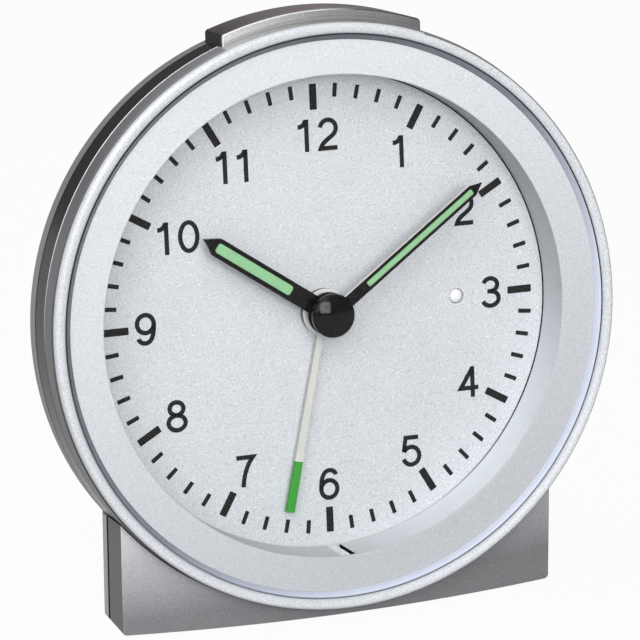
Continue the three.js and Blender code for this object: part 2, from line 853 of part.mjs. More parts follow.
function hourWheel() {
  const wheel = gear(hourTeeth, hourModule, gapTowards(intermediateTurn, hourTeeth), hourLayer);
  const bush = disc(hourTubeR, hourLayer - gearThickness, hourHandZ + handThickness + 0.3);
  return cut(joined(wheel, bush), disc(minuteArborR + tubeGap, -farOut, farOut));
}

function intermediateWheel() {
  const turn = intermediateTurn + PI;
  const toothAt = gapTowards(turn, intermediateTeeth);
  const wheel = gear(intermediateTeeth, cannonModule, toothAt, intermediateLayer);
  const pinion = gear(
    hourPinionTeeth,
    hourModule,
    turn,
    hourLayer + 0.2,
    hourLayer + 0.3 - intermediateLayer,
  );
  const arbor = disc(pinR, caseInnerZ - 0.7, plateBackZ + 0.8);
  return atPlace(joined(wheel, pinion, arbor), intermediateAt);
}

function alarmWheel() {
  const wheel = gear(alarmTeeth, alarmModule, gapTowards(0, alarmTeeth), alarmLayer);
  const bush = disc(alarmTubeR, alarmLayer - gearThickness, alarmHandZ + handThickness + 0.3);
  return cut(joined(wheel, bush), disc(hourTubeR + tubeGap, -farOut, farOut));
}

function transferWheel() {
  const inward = transferTurn + PI;
  const pinion = gear(
    transferPinionTeeth,
    minuteModule,
    gapTowards(inward, transferPinionTeeth),
    minuteLayer + 0.2,
    minuteLayer + 0.3 - transferLayer,
  );
  const wheel = gear(transferTeeth, rotorModule, rotorTurn, transferLayer);
  const arbor = disc(pinR, caseInnerZ - 0.7, plateBackZ + 0.8);
  return atPlace(joined(wheel, pinion, arbor), transferAt);
}

function rotor() {
  const pinion = gear(
    rotorTeeth,
    rotorModule,
    gapTowards(rotorTurn + PI, rotorTeeth),
    transferLayer + 0.2,
    transferLayer + 0.3 - rotorLayer,
  );
  const magnet = disc(magnetR, rotorLayer - magnetDepth, rotorLayer, new THREE.Vector2(), discFacets);
  const arbor = disc(pinR, caseInnerZ - 0.7, plateBackZ + 0.8);
  return atPlace(joined(magnet, pinion, arbor), rotorAt);
}

// Motor and movement case

function stator() {
  const bar = block(-statorHalf, statorHalf, -2.4, 2.4, statorZ - statorThickness, statorZ);
  const eye = disc(magnetR + 2.6, statorZ - statorThickness, statorZ, new THREE.Vector2(), discFacets);
  const posts = [-1, 1].map((side) =>
    block(
      side * (statorHalf - 2) - 2,
      side * (statorHalf - 2) + 2,
      0,
      coilY + 1.5,
      statorZ - statorThickness,
      statorZ,
    ),
  );
  const hole = disc(magnetR + 0.5, -farOut, 0, new THREE.Vector2(), discFacets);
  return atPlace(cut(joined(bar, eye, ...posts), hole), rotorAt);
}

function coilCore() {
  const frontZ = statorZ + statorThickness + 0.05;
  const core = block(-statorHalf, statorHalf, coilY - 1.5, coilY + 1.5, statorZ + 0.05, frontZ);
  return atPlace(core, rotorAt);
}

function motorCoil() {
  const middleZ = statorZ + 0.05 + statorThickness / 2;
  const half = statorHalf - 4 - gap;
  const winding = rod(coilR, -half + 1, half - 1, coilY, middleZ);
  const cheeks = [-1, 1].map((side) => {
    const x = side * (half - 0.5);
    const cheek = coilR + 0.2;
    return block(x - 0.5, x + 0.5, coilY - cheek, coilY + cheek, middleZ - cheek, middleZ + cheek);
  });
  const bore = block(-farOut, farOut, coilY - 1.6, coilY + 1.6, middleZ - 0.6, middleZ + 0.6);
  return atPlace(cut(joined(winding, ...cheeks), bore), rotorAt);
}

function movementPlate() {
  const outline = roundedRectangle(-caseHalf, caseHalf, caseBottom, caseTop, caseCornerR);
  const bearings = arborPlaces.map((at) => disc(pinR + runningGap, -farOut, 0, at, screwFacets));
  return cut(
    prism(outline, plateBackZ, plateFrontZ, 3),
    disc(centreHoleR, -farOut, 0),
    disc(alarmArborR + runningGap, -farOut, 0, knobAt, screwFacets),
    ...bearings,
  );
}

function movementCase() {
  const frontZ = plateBackZ - gap;
  const outer = roundedRectangle(-caseHalf, caseHalf, caseBottom, caseTop, caseCornerR);
  const inner = roundedRectangle(
    -caseHalf + caseWall,
    caseHalf - caseWall,
    caseBottom + caseWall,
    caseTop - caseWall,
    caseCornerR - caseWall,
  );
  const bearings = arborPlaces.map((at) => disc(pinR + runningGap, -farOut, 0, at, screwFacets));
  const posts = casePosts.map(([x, y]) =>
    disc(1.6, boardFrontZ + gap, caseBackZ + 0.2, new THREE.Vector2(x, y), screwFacets),
  );
  const tray = cut(prism(outer, caseBackZ, frontZ, 3), prism(inner, caseInnerZ, frontZ + 1, 3));
  return cut(
    joined(tray, ...posts),
    disc(minuteArborR + runningGap, -farOut, 0, new THREE.Vector2(), screwFacets),
    disc(alarmArborR + runningGap, -farOut, 0, knobAt, screwFacets),
    ...bearings,
  );
}

// Hands

// A pointed hand drawn up the y axis with a window for its inlay
function pointedHand(length, width, tipLength, frontZ) {
  const half = width / 2;
  const blade = polygon([
    [-half, 0],
    [half, 0],
    [half, length - tipLength],
    [0, length],
    [-half, length - tipLength],
  ]);
  const boss = disc(hubR, frontZ - handThickness, frontZ, new THREE.Vector2(), discFacets);
  return joined(prism(blade, frontZ - handThickness, frontZ), boss);
}

function inlayShape(start, end, width) {
  const half = width / 2;
  const shape = new THREE.Shape();
  shape.moveTo(-half, start);
  shape.lineTo(half, start);
  shape.lineTo(half, end - half);
  shape.absarc(0, end - half, half, 0, PI, false);
  return shape;
}

function recess({ start, end, width }, frontZ) {
  const grown = inlayShape(start - inlayGap, end + inlayGap, width + 2 * inlayGap);
  return prism(grown, frontZ - inlayDepth, frontZ + 1, 3);
}

function inlay({ start, end, width }, frontZ) {
  return prism(inlayShape(start, end, width), frontZ - inlayDepth + 0.05, frontZ + 0.02, 3);
}

const minuteLume = () => inlay(minuteInlay, minuteHandZ + handThickness);
const hourLume = () => inlay(hourInlay, hourHandZ + handThickness);

function minuteHand() {
  const frontZ = minuteHandZ + handThickness;
  const blade = pointedHand(minuteLength, minuteWidth, 2.2, frontZ);
  return cut(blade, recess(minuteInlay, frontZ), disc(boreFor(minuteArborR), 0, 10));
}

function hourHand() {
  const frontZ = hourHandZ + handThickness;
  const blade = pointedHand(hourLength, hourWidth, 2.6, frontZ);
  return cut(blade, recess(hourInlay, frontZ), disc(boreFor(hourTubeR), 0, 10));
}

function alarmHand() {
  const frontZ = alarmHandZ + handThickness;
  const blade = polygon([
    [-alarmRootWidth / 2, 0],
    [alarmRootWidth / 2, 0],
    [alarmTipWidth / 2, alarmLength],
    [-alarmTipWidth / 2, alarmLength],
  ]);
  const boss = disc(hubR, alarmHandZ, frontZ, new THREE.Vector2(), discFacets);
  return cut(joined(prism(blade, alarmHandZ, frontZ), boss), disc(boreFor(alarmTubeR), 0, 10));
}

function hubCap() {
  const backZ = minuteHandZ + handThickness + 0.05;
  const cap = turned(
    [
      [0, backZ],
      [capR, backZ],
      [capR, capFrontZ - 0.25],
      [capR - 0.25, capFrontZ],
      [0, capFrontZ],
    ],
    discFacets,
  );
  return cut(cap, disc(boreFor(minuteArborR), 0, capFrontZ - 0.5));
}

// Setting knob, buttons, switch

function alarmArbor() {
  const pinion = gear(alarmPinionTeeth, alarmModule, PI, alarmLayer + 0.1, gearThickness + 0.2);
  const arbor = disc(alarmArborR, knobBackZ + 1, plateBackZ + 0.8);
  return atPlace(joined(pinion, arbor), knobAt);
}

function alarmKnob() {
  const flutes = 18;
  const frontZ = knobFloorZ - gap;
  const rim = Array.from({ length: 2 * flutes }, (_, i) =>
    onCircle(i % 2 ? knobR - 0.45 : knobR, (i * PI) / flutes),
  );
  const grip = prism(new THREE.Shape(rim), knobBackZ, frontZ);
  const hollow = disc(knobR - 2, knobBackZ - 1, knobBackZ + 1.2, new THREE.Vector2(), discFacets);
  const boss = disc(alarmArborR + 1, knobBackZ + 0.2, knobFloorZ + 1.4);
  const finger = block(-0.8, 0.8, -knobR + 1.5, knobR - 1.5, knobBackZ + 0.1, knobBackZ + 2);
  const bore = disc(boreFor(alarmArborR), knobBackZ + 0.9, 0);
  return atPlace(cut(joined(cut(grip, hollow), finger, boss), bore), knobAt);
}

function button(x) {
  const at = new THREE.Vector2(x, buttonY);
  return joined(
    disc(buttonR, drumBackZ - buttonProud, innerBackZ + gap + 0.2, at),
    disc(buttonR + 0.8, innerBackZ + gap, innerBackZ + gap + 0.8, at),
    disc(1, innerBackZ + gap, buttonInnerZ, at, screwFacets),
  );
}

function alarmSwitch() {
  const grip = block(
    switchX - switchGripHalf,
    switchX + switchGripHalf,
    switchY - 1.5,
    switchY + 1.5,
    drumBackZ - 1,
    innerBackZ + 0.4,
  );
  const ribs = [-1.2, 0, 1.2].map((x) =>
    block(switchX + x - 0.3, switchX + x + 0.3, switchY - 1.5, switchY + 1.5, drumBackZ - 1.4, drumBackZ),
  );
  const skid = block(
    switchX - 3.4,
    switchX + 3.4,
    switchY - 2.6,
    switchY + 2.6,
    innerBackZ + gap,
    innerBackZ + gap + 0.8,
  );
  const lever = block(
    switchX - 0.7,
    switchX + 0.7,
    switchY - 0.7,
    switchY + 0.7,
    innerBackZ + 1,
    slideBodyZ + 0.7,
  );
  return joined(grip, skid, lever, ...ribs);
}

// Circuit board, aerial, buzzer

function circuitBoard() {
  const outline = roundedRectangle(-boardHalf, boardHalf, boardBottom, boardTop, 2);
  const tacts = buttonXs.map((x) =>
    joined(
      block(x - 3, x + 3, buttonY - 3, buttonY + 3, tactTopZ + 0.6, boardBackZ + 0.1),
      disc(1.5, tactTopZ, tactTopZ + 0.7, new THREE.Vector2(x, buttonY), 12),
    ),
  );
  const slide = cut(
    block(switchX - 6.5, switchX + 3.5, switchY - 2.2, switchY + 2.2, slideBodyZ, boardBackZ + 0.1),
    block(
      switchX - 0.7 - switchThrow - gap,
      switchX + 0.7 + gap,
      switchY - 0.7 - gap,
      switchY + 0.7 + gap,
      slideBodyZ - 1,
      slideBodyZ + 1.2,
    ),
  );
  const chip = block(-4, 4, -5, 3, boardBackZ - chipHeight, boardBackZ + 0.1);
  const crystal = block(14, 21, 20, 22.5, boardBackZ - 2 * chipHeight, boardBackZ + 0.1);
  return cut(
    joined(prism(outline, boardBackZ, boardFrontZ, 3), ...tacts, slide, chip, crystal),
    disc(alarmArborR + 1, -farOut, 0, knobAt, screwFacets),
  );
}

// A bar along y
function upright(r, x, z, y0, y1, facets) {
  const geometry = new THREE.CylinderGeometry(r, r, y1 - y0, facets);
  return solid(geometry.translate(x, (y0 + y1) / 2, z));
}

function antennaRod() {
  return upright(antennaR, antennaX, antennaZ, -antennaHalf, antennaHalf, discFacets);
}

function antennaCoil() {
  const outer = upright(antennaR + 0.8, antennaX, antennaZ, 0, 11, discFacets);
  return cut(outer, upright(antennaR + 0.1, antennaX, antennaZ, -1, 12, discFacets));
}

function buzzer() {
  const backZ = innerBackZ + gap;
  const can = disc(buzzerR, backZ, backZ + buzzerDepth, buzzerAt, discFacets);
  return cut(can, disc(1.5, backZ - 1, backZ + 1, buzzerAt));
}

// Battery and its door

function battery() {
  const nub = 1;
  const x1 = batteryStartX + batteryLength;
  return joined(
    rod(batteryR, batteryStartX, x1 - nub, batteryY, batteryZ, discFacets),
    rod(2.7, x1 - nub - 0.1, x1, batteryY, batteryZ),
  );
}

// A sheet-metal contact across the bay, between x0 and x1
function contactPlate(x0, x1) {
  const halfWidth = 5;
  return block(x0, x1, batteryY - halfWidth, batteryY + halfWidth, batteryZ - 4.5, batteryZ + 5);
}

function batteryContact() {
  const x = bayLength / 2 - gap;
  return contactPlate(x - contactThickness, x);
}

function batterySpring() {
  const wallX = -bayLength / 2 + gap;
  const plate = contactPlate(wallX, wallX + contactThickness);
  const turns = 3;
  const wireR = 0.35;
  const start = wallX + contactThickness + wireR - 0.1;
  const end = batteryStartX - gap - wireR;
  class Cone extends THREE.Curve {
    getPoint(t, target = new THREE.Vector3()) {
      const a = 2 * PI * turns * t;
      const r = 3.6 - 1.2 * t;
      return target.set(start + (end - start) * t, batteryY + r * cos(a), batteryZ + r * sin(a));
    }
  }
  const wire = new THREE.Shape();
  wire.absarc(0, 0, wireR, 0, 2 * PI, false);
  const options = { extrudePath: new Cone(), steps: 10 * turns, curveSegments: 3, bevelEnabled: false };
  return joined(plate, solid(new THREE.ExtrudeGeometry(wire, options)));
}

function batteryDoor() {
  const skin = doorRun(0, doorStartX, drumR).intersect(turned(drumOutline(0)));
  const grooves = [12, 15, 18].map((x) =>
    block(x, x + 1.2, batteryY - 5, batteryY + 5, drumBackZ - 1, drumBackZ + 0.6),
  );
  return cut(skin, ...grooves);
}

// Pedestal, drawn upright with the front towards -y

// Front-view outline with rounded lower corners, run from front to back
function pedestalProfile(inset, y0, y1) {
  const half = pedestalHalf - inset;
  const r = pedestalCornerR;
  const shape = new THREE.Shape();
  shape.moveTo(-half + r, floorClearance + inset);
  shape.lineTo(half - r, floorClearance + inset);
  shape.absarc(half - r, floorClearance + inset + r, r, -PI / 2, 0, false);
  shape.lineTo(half, dialHeight);
  shape.lineTo(-half, dialHeight);
  shape.lineTo(-half, floorClearance + inset + r);
  shape.absarc(-half + r, floorClearance + inset + r, r, PI, 1.5 * PI, false);
  const upright = new THREE.Matrix4().makeRotationX(PI / 2);
  return placed(prism(shape, -y1, -y0, 4), upright);
}

// Plan outline with the bowed front
function pedestalPlan(inset, backY) {
  const half = pedestalHalf - inset;
  const sagitta = pedestalFrontMid - pedestalFrontSide;
  const r = (pedestalHalf ** 2 + sagitta ** 2) / (2 * sagitta);
  const centreY = r - pedestalFrontMid;
  const bowR = r - inset;
  const reach = asin(half / bowR);
  const steps = 16;
  const bow = Array.from({ length: steps + 1 }, (_, i) => {
    const a = -reach + (2 * reach * i) / steps;
    return [bowR * sin(a), centreY - bowR * cos(a)];
  });
  return prism(polygon([...bow, [half, backY], [-half, backY]]), -1, dialHeight);
}

function saddle(offset) {
  return placed(turned(drumOutline(offset)), drumFrame);
}

function pedestalFloor() {
  return block(-farOut, farOut, -farOut, farOut, flatZ, dialHeight);
}

function baseScrewHole(r, y0, y1, side) {
  const geometry = new THREE.CylinderGeometry(r, r, y1 - y0, pinFacets);
  return solid(geometry.translate(side * baseScrewX, (y0 + y1) / 2, baseScrewZ));
}

function basePads() {
  const frontY = -pedestalFrontSide + footR + 0.7;
  const backY = tongueBackY - footR - 2;
  const backX = tongueHalf - footR - 5;
  return {
    foot_front_left: new THREE.Vector2(-footFrontX, frontY),
    foot_front_right: new THREE.Vector2(footFrontX, frontY),
    foot_rear_left: new THREE.Vector2(-backX, backY),
    foot_rear_right: new THREE.Vector2(backX, backY),
  };
}

function footRecesses() {
  return Object.values(basePads()).map((at) =>
    disc(footR + gap, -1, floorClearance + footRecess, at),
  );
}

function baseFront() {
  const backY = pedestalSeamY - gap / 2;
  const outer = pedestalPlan(0, backY).intersect(pedestalProfile(0, -farOut, farOut));
  const solidBody = cut(outer, saddle(gap).intersect(pedestalFloor()));
  const hollow = cut(
    pedestalPlan(pedestalWall, 5).intersect(pedestalProfile(pedestalWall, -farOut, farOut)),
    saddle(gap + pedestalWall),
  );
  const bosses = [-1, 1].map((side) =>
    cut(baseScrewHole(2.6, -pedestalFrontSide + 0.6, backY, side), baseScrewHole(0.9, -6, 0, side)),
  );
  return cut(joined(cut(solidBody, hollow), ...bosses), ...footRecesses());
}

function baseRear() {
  const frontY = pedestalSeamY + gap / 2;
  const slab = pedestalProfile(0, frontY, pedestalBackY);
  const tongue = prism(
    roundedRectangle(-tongueHalf, tongueHalf, pedestalBackY - tongueCornerR, tongueBackY, tongueCornerR),
    floorClearance,
    tongueTop,
    5,
  ).intersect(block(-farOut, farOut, pedestalBackY - 1, farOut, -farOut, farOut));
  const body = cut(joined(slab, tongue), saddle(gap).intersect(pedestalFloor()));
  const holes = [-1, 1].flatMap((side) => [
    baseScrewHole(1.1, -5, 5, side),
    baseScrewHole(2.3, pedestalBackY - 1.7, 5, side),
  ]);
  const footHoles = footScrewPlaces.flatMap((at) => [
    disc(1.1, -1, 12, at, screwFacets),
    disc(2.3, -1, floorClearance + 1.9, at),
  ]);
  return cut(body, ...holes, ...footHoles, ...footRecesses());
}

function baseScrew(side) {
  const headY = pedestalBackY - 1.7 + gap;
  return joined(
    baseScrewHole(2, headY, headY + 1.2, side),
    baseScrewHole(0.7, pedestalSeamY - 3.4, headY + 0.1, side),
  );
}

function footScrew(at) {
  const headTop = floorClearance + 1.9 - gap;
  return joined(disc(2, headTop - 1.2, headTop, at), disc(0.8, headTop - 0.1, 10.5, at, screwFacets));
}

function foot(at) {
  return disc(footR, 0, floorClearance + footRecess, at);
}

// The clock

const clockwise = (degrees) => (-degrees * PI) / 180;

function addTo(group, name, body, material, turn = 0) {
  const mesh = part(name, body, material);
  mesh.rotation.z = turn;
  group.add(mesh);
}

addTo(drum, "bezel", bezel(), looks.satinSilver);
addTo(drum, "lens", lens(), looks.clear);
addTo(drum, "dial_ring", dialRing(), looks.paleSilver);
addTo(drum, "dial", dial(), looks.dialSilver);
addTo(drum, "light_guide", lightGuide(), looks.clear);
addTo(drum, "dial_led", dialLed(), looks.whiteDome);
addTo(drum, "sensor_dome", sensorDome(), looks.whiteDome);
addTo(drum, "front_housing", frontHousing(), looks.anthracite);
addTo(drum, "middle_band", middleBand(), looks.darkGloss);
addTo(drum, "rear_cover", rearCover(), looks.anthracite);
caseScrewPlaces.forEach((at, i) => addTo(drum, `case_screw_${i + 1}`, caseScrew(at), looks.steel));

addTo(drum, "snooze_bar", snoozeBar(), looks.darkGloss);
addTo(drum, "snooze_switch", snoozeSwitch(), looks.black);
addTo(drum, "snooze_spring_left", snoozeSpring(-1), looks.steel);
addTo(drum, "snooze_spring_right", snoozeSpring(1), looks.steel);

addTo(drum, "minute_wheel", minuteWheel(), looks.nylon);
addTo(drum, "minute_arbor", minuteArbor(), looks.steel);
addTo(drum, "minute_hand", minuteHand(), looks.black, clockwise(minuteAngle));
addTo(drum, "minute_lume", minuteLume(), looks.lume, clockwise(minuteAngle));
addTo(drum, "hub_cap", hubCap(), looks.black);
addTo(drum, "hour_wheel", hourWheel(), looks.nylon);
addTo(drum, "hour_hand", hourHand(), looks.black, clockwise(hourAngle));
addTo(drum, "hour_lume", hourLume(), looks.lume, clockwise(hourAngle));
addTo(drum, "alarm_wheel", alarmWheel(), looks.nylon);
addTo(drum, "alarm_hand", alarmHand(), looks.cream, clockwise(alarmAngle));
addTo(drum, "intermediate_wheel", intermediateWheel(), looks.nylon);
addTo(drum, "transfer_wheel", transferWheel(), looks.nylon);
addTo(drum, "rotor", rotor(), looks.greyPlastic);
addTo(drum, "stator", stator(), looks.steel);
addTo(drum, "coil_core", coilCore(), looks.steel);
addTo(drum, "motor_coil", motorCoil(), looks.copper);
addTo(drum, "movement_plate", movementPlate(), looks.greyPlastic);
addTo(drum, "movement_case", movementCase(), looks.greyPlastic);

addTo(drum, "alarm_arbor", alarmArbor(), looks.brass);
addTo(drum, "alarm_knob", alarmKnob(), looks.greyPlastic);
addTo(drum, "set_button", button(buttonXs[0]), looks.greyPlastic);
addTo(drum, "receive_button", button(buttonXs[1]), looks.greyPlastic);
addTo(drum, "reset_button", button(buttonXs[2]), looks.greyPlastic);
addTo(drum, "alarm_switch", alarmSwitch(), looks.greyPlastic);
addTo(drum, "circuit_board", circuitBoard(), looks.board);
addTo(drum, "antenna_rod", antennaRod(), looks.ferrite);
addTo(drum, "antenna_coil", antennaCoil(), looks.copper);
addTo(drum, "buzzer", buzzer(), looks.black);
addTo(drum, "battery", battery(), looks.jacket);
addTo(drum, "battery_contact", batteryContact(), looks.steel);
addTo(drum, "battery_spring", batterySpring(), looks.steel);
addTo(drum, "battery_door", batteryDoor(), looks.anthracite);

addTo(pedestal, "base_front", baseFront(), looks.anthracite);
addTo(pedestal, "base_rear", baseRear(), looks.anthracite);
addTo(pedestal, "base_screw_left", baseScrew(-1), looks.steel);
addTo(pedestal, "base_screw_right", baseScrew(1), looks.steel);
footScrewPlaces.forEach((at, i) => addTo(pedestal, `foot_screw_${i + 1}`, footScrew(at), looks.steel));
Object.entries(basePads()).forEach(([name, at]) => addTo(pedestal, name, foot(at), looks.rubber));

drum.rotation.x = drumAngle;
drum.position.z = dialHeight;

// The origin is on the table, under the middle of the whole clock
const clock = new THREE.Group();
clock.add(drum, pedestal);
clock.updateMatrixWorld(true);
const reach = new THREE.Box3().setFromObject(clock, true);
clock.position.y = -round(((reach.min.y + reach.max.y) / 2) * 100) / 100;

export default clock;
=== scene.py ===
# %% [markdown]
# Radio-controlled alarm clock
#
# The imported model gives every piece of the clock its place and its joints. This lesson dresses it:
# it rebuilds the round and curved pieces smoothly, prints the dial, and gives each piece a finish.
# Lengths are written in millimetres, as on a drawing, and turned into metres where a mesh is made.

import json
import math

import bmesh
import bpy
from mathutils import Matrix, Vector


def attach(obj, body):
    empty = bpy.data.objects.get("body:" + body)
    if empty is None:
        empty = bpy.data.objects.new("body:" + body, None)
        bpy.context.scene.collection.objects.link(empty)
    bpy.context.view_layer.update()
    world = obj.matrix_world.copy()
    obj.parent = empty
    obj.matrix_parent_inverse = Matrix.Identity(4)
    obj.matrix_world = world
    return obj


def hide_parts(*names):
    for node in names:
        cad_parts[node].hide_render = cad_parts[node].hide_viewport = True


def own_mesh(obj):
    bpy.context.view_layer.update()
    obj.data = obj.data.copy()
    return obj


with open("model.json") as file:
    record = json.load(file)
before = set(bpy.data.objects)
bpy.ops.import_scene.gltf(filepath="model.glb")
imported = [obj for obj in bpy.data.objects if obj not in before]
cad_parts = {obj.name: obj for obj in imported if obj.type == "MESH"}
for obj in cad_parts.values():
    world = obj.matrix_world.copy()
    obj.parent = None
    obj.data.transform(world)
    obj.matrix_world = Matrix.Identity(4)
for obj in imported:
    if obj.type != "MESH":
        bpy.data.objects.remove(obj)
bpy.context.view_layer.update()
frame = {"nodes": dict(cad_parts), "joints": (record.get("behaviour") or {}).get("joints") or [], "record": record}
MM = 0.001

# %% [markdown]
# Two drawing frames
#
# The drum of the clock leans back in its stand. Every piece of the drum is easiest to draw on the
# dial: x to the right, y up the dial, z out of it. The hinge of the minute hand already holds the
# middle of the dial and its direction, so the frame is read from that joint and can't drift from
# the model. The stand is upright, so it gets a frame of its own.

# %% The dial's frame and the stand's frame
minute_turn = next(j for j in frame["joints"] if j["name"] == "minute_turn")
dial_middle = Vector(minute_turn["pos_m"])
outwards = -Vector(minute_turn["axis"])
rightwards = Vector((1, 0, 0))
upwards = outwards.cross(rightwards)
dial_turn = Matrix((rightwards, upwards, outwards)).transposed().to_4x4()
ON_DIAL = Matrix.Translation(dial_middle) @ dial_turn @ Matrix.Scale(MM, 4)
ON_STAND = Matrix.Translation((0, dial_middle.y, 0)) @ Matrix.Scale(MM, 4)
print("dial leans back", round(math.degrees(math.asin(outwards.z)), 2), "degrees")

# %% [markdown]
# Camera
#
# The sixty marks of a dial are a ready-made target: where they fall in the photograph fixes the
# lens, the place and the tilt of the camera. A long lens stood about 62 cm away, a little to the
# left and above.

# %% Place the camera
camera_data = bpy.data.cameras.new("camera")
camera_data.sensor_width = 36
camera_data.lens = 205.8
camera = bpy.data.objects.new("camera", camera_data)
camera.location = (-0.2077, -0.56724, 0.2207)
camera.rotation_euler = [math.radians(a) for a in (73.971, 0.368, -20.434)]
bpy.context.scene.collection.objects.link(camera)
bpy.context.scene.camera = camera
away = (camera.location - dial_middle).length
print("lens", camera_data.lens, "mm, camera", round(away, 3), "m from the dial")

# %% [markdown]
# Colours and nodes
#
# A material here is a few nodes in front of the standard surface shader. Colours are written as
# they should look on the screen, from 0 to 255, and the helper turns them into the linear values
# that Blender works with. Three small helpers keep the node work readable.


# %% Helpers for colours and shader nodes
def level(value, tint=(1, 1, 1)):
    """A colour as it should render: value from 0 to 255, tinted."""
    share = [min(1, value / 255 * t) for t in tint]
    return (*[s / 12.92 if s <= 0.04045 else ((s + 0.055) / 1.055) ** 2.4 for s in share], 1)


def new_material(name):
    """A material, its nodes and its surface shader."""
    material = bpy.data.materials.new(name)
    material.use_nodes = True
    return material, material.node_tree, material.node_tree.nodes["Principled BSDF"]


def add_node(tree, kind, **inputs):
    """A node whose named inputs are set to values or linked to sockets."""
    node = tree.nodes.new(kind)
    for key, value in inputs.items():
        socket = node.inputs[key.replace("_", " ")]
        if isinstance(value, bpy.types.NodeSocket):
            tree.links.new(value, socket)
        else:
            socket.default_value = value
    return node


def ramp(tree, factor, stops):
    """A colour ramp through (position, colour) stops."""
    node = tree.nodes.new("ShaderNodeValToRGB")
    tree.links.new(factor, node.inputs["Fac"])
    elements = node.color_ramp.elements
    while len(elements) < len(stops):
        elements.new(0.5)
    for element, (position, colour) in zip(elements, stops):
        element.position = position
        element.color = colour
    return node.outputs["Color"]


# %% [markdown]
# Painted finish
#
# Nearly all of the clock is moulded plastic under metallic paint. Such paint is a clear binder
# with tiny flakes: seen close, it sparkles in lighter and darker specks. Fine noise on the piece's
# own coordinates picks between two near colours, moves the roughness a little and lifts the
# surface. That is cheaper than real flakes and holds from every side. A second, wide noise keeps
# large faces from looking flat.


# %% Noise in a given grain
def grain(tree, size):
    """Noise on the piece's own coordinates with specks about size millimetres across."""
    place = tree.nodes.new("ShaderNodeTexCoord")
    return add_node(
        tree,
        "ShaderNodeTexNoise",
        Vector=place.outputs["Object"],
        Scale=1 / (size * MM),
        Detail=2,
    )


def grey(value):
    return (value, value, value, 1)


# %% [markdown]
# Drift
#
# Where the photograph shows a slow change of tone over a face that the lamps alone don't give, a
# paint can drift along a direction. A drift is written as a direction with its rise per millimetre,
# the value at the origin, and the tones at some values.


# %% A value that grows along a direction
# A drift paints light and shade into a colour, where the lamps don't give it.
def along(tree, direction, start):
    """A value that grows from start along a direction, given per millimetre."""
    place = tree.nodes.new("ShaderNodeTexCoord")
    dot = tree.nodes.new("ShaderNodeVectorMath")
    dot.operation = "DOT_PRODUCT"
    tree.links.new(place.outputs["Object"], dot.inputs[0])
    dot.inputs[1].default_value = [v / MM for v in direction]
    shifted = tree.nodes.new("ShaderNodeMath")
    tree.links.new(dot.outputs["Value"], shifted.inputs[0])
    shifted.inputs[1].default_value = start
    return shifted.outputs[0]


# %% [markdown]
# One helper for all paints
#
# Fine specks give two near colours, the roughness and the relief. The tones, from the wide noise or
# from a drift, are multiplied over them.

# %% The painted finish
CLOUD = 12
PLAIN = [(0.3, level(250)), (0.7, level(255))]


def paint(
    name, dark, light, roughness, metallic=0.0, speck=0.2, bump=0.004, shine=0.5, drift=None
):
    """Paint or moulded plastic: two near colours in fine specks, with a faint relief."""
    material, tree, shader = new_material(name)
    specks = grain(tree, speck).outputs["Fac"]
    mixed = add_node(tree, "ShaderNodeMix")
    mixed.data_type = "RGBA"
    mixed.blend_type = "MULTIPLY"
    mixed.inputs["Factor"].default_value = 1
    tree.links.new(ramp(tree, specks, [(0.3, dark), (0.7, light)]), mixed.inputs["A"])
    if drift:
        direction, start, stops = drift
        tones = ramp(tree, along(tree, direction, start), [(t, level(v)) for t, v in stops])
    else:
        tones = ramp(tree, grain(tree, CLOUD).outputs["Fac"], PLAIN)
    tree.links.new(tones, mixed.inputs["B"])
    tree.links.new(mixed.outputs["Result"], shader.inputs["Base Color"])
    gloss = ramp(tree, specks, [(0.3, grey(roughness * 0.88)), (0.7, grey(roughness * 1.12))])
    tree.links.new(gloss, shader.inputs["Roughness"])
    relief = add_node(tree, "ShaderNodeBump", Height=specks, Strength=1, Distance=bump * MM)
    tree.links.new(relief.outputs["Normal"], shader.inputs["Normal"])
    shader.inputs["Metallic"].default_value = metallic
    shader.inputs["Specular IOR Level"].default_value = shine
    return material


# %% [markdown]
# Tints
#
# The case's paints are all nearly neutral. The silver of bezel, ring and dial leans to blue, more so
# on the bezel's slope and groove, whose painted shade is blue-grey, the grey of bands and stand to
# violet, and the case's dark plastic to brown. Two dark finishes serve several pieces: a near black
# that paints the shade in deep seams, and the middle band's plastic, which is polished and not
# painted. The other paints stand with their pieces.

# %% Tints and two dark finishes
COOL = (0.962, 0.98, 1.0)
WARM = (1.0, 0.95, 0.94)
DUSK = (0.99, 0.975, 1.0)
ICE = (0.9, 0.93, 1.0)
# A near black that paints the shade of deep seams and of a slit wall in shadow.
painted_seam_shade = paint("painted_seam_shade", level(26), level(34), 0.8, shine=0.0)
band_gloss = paint(
    "band_gloss", level(36, WARM), level(42, WARM), 0.22, speck=0.4, bump=0.001, shine=0.06
)
print("finishes so far:", len(bpy.data.materials))

# %% [markdown]
# Other plain finishes
#
# Hands and marks are black lacquer and matt ink. Inside there is natural white moulding for the
# wheels, grey moulding for case and knob, bright steel, turned brass, ferrite and a green board.
# All of them take the same helper, because each is again two near colours in its own grain.

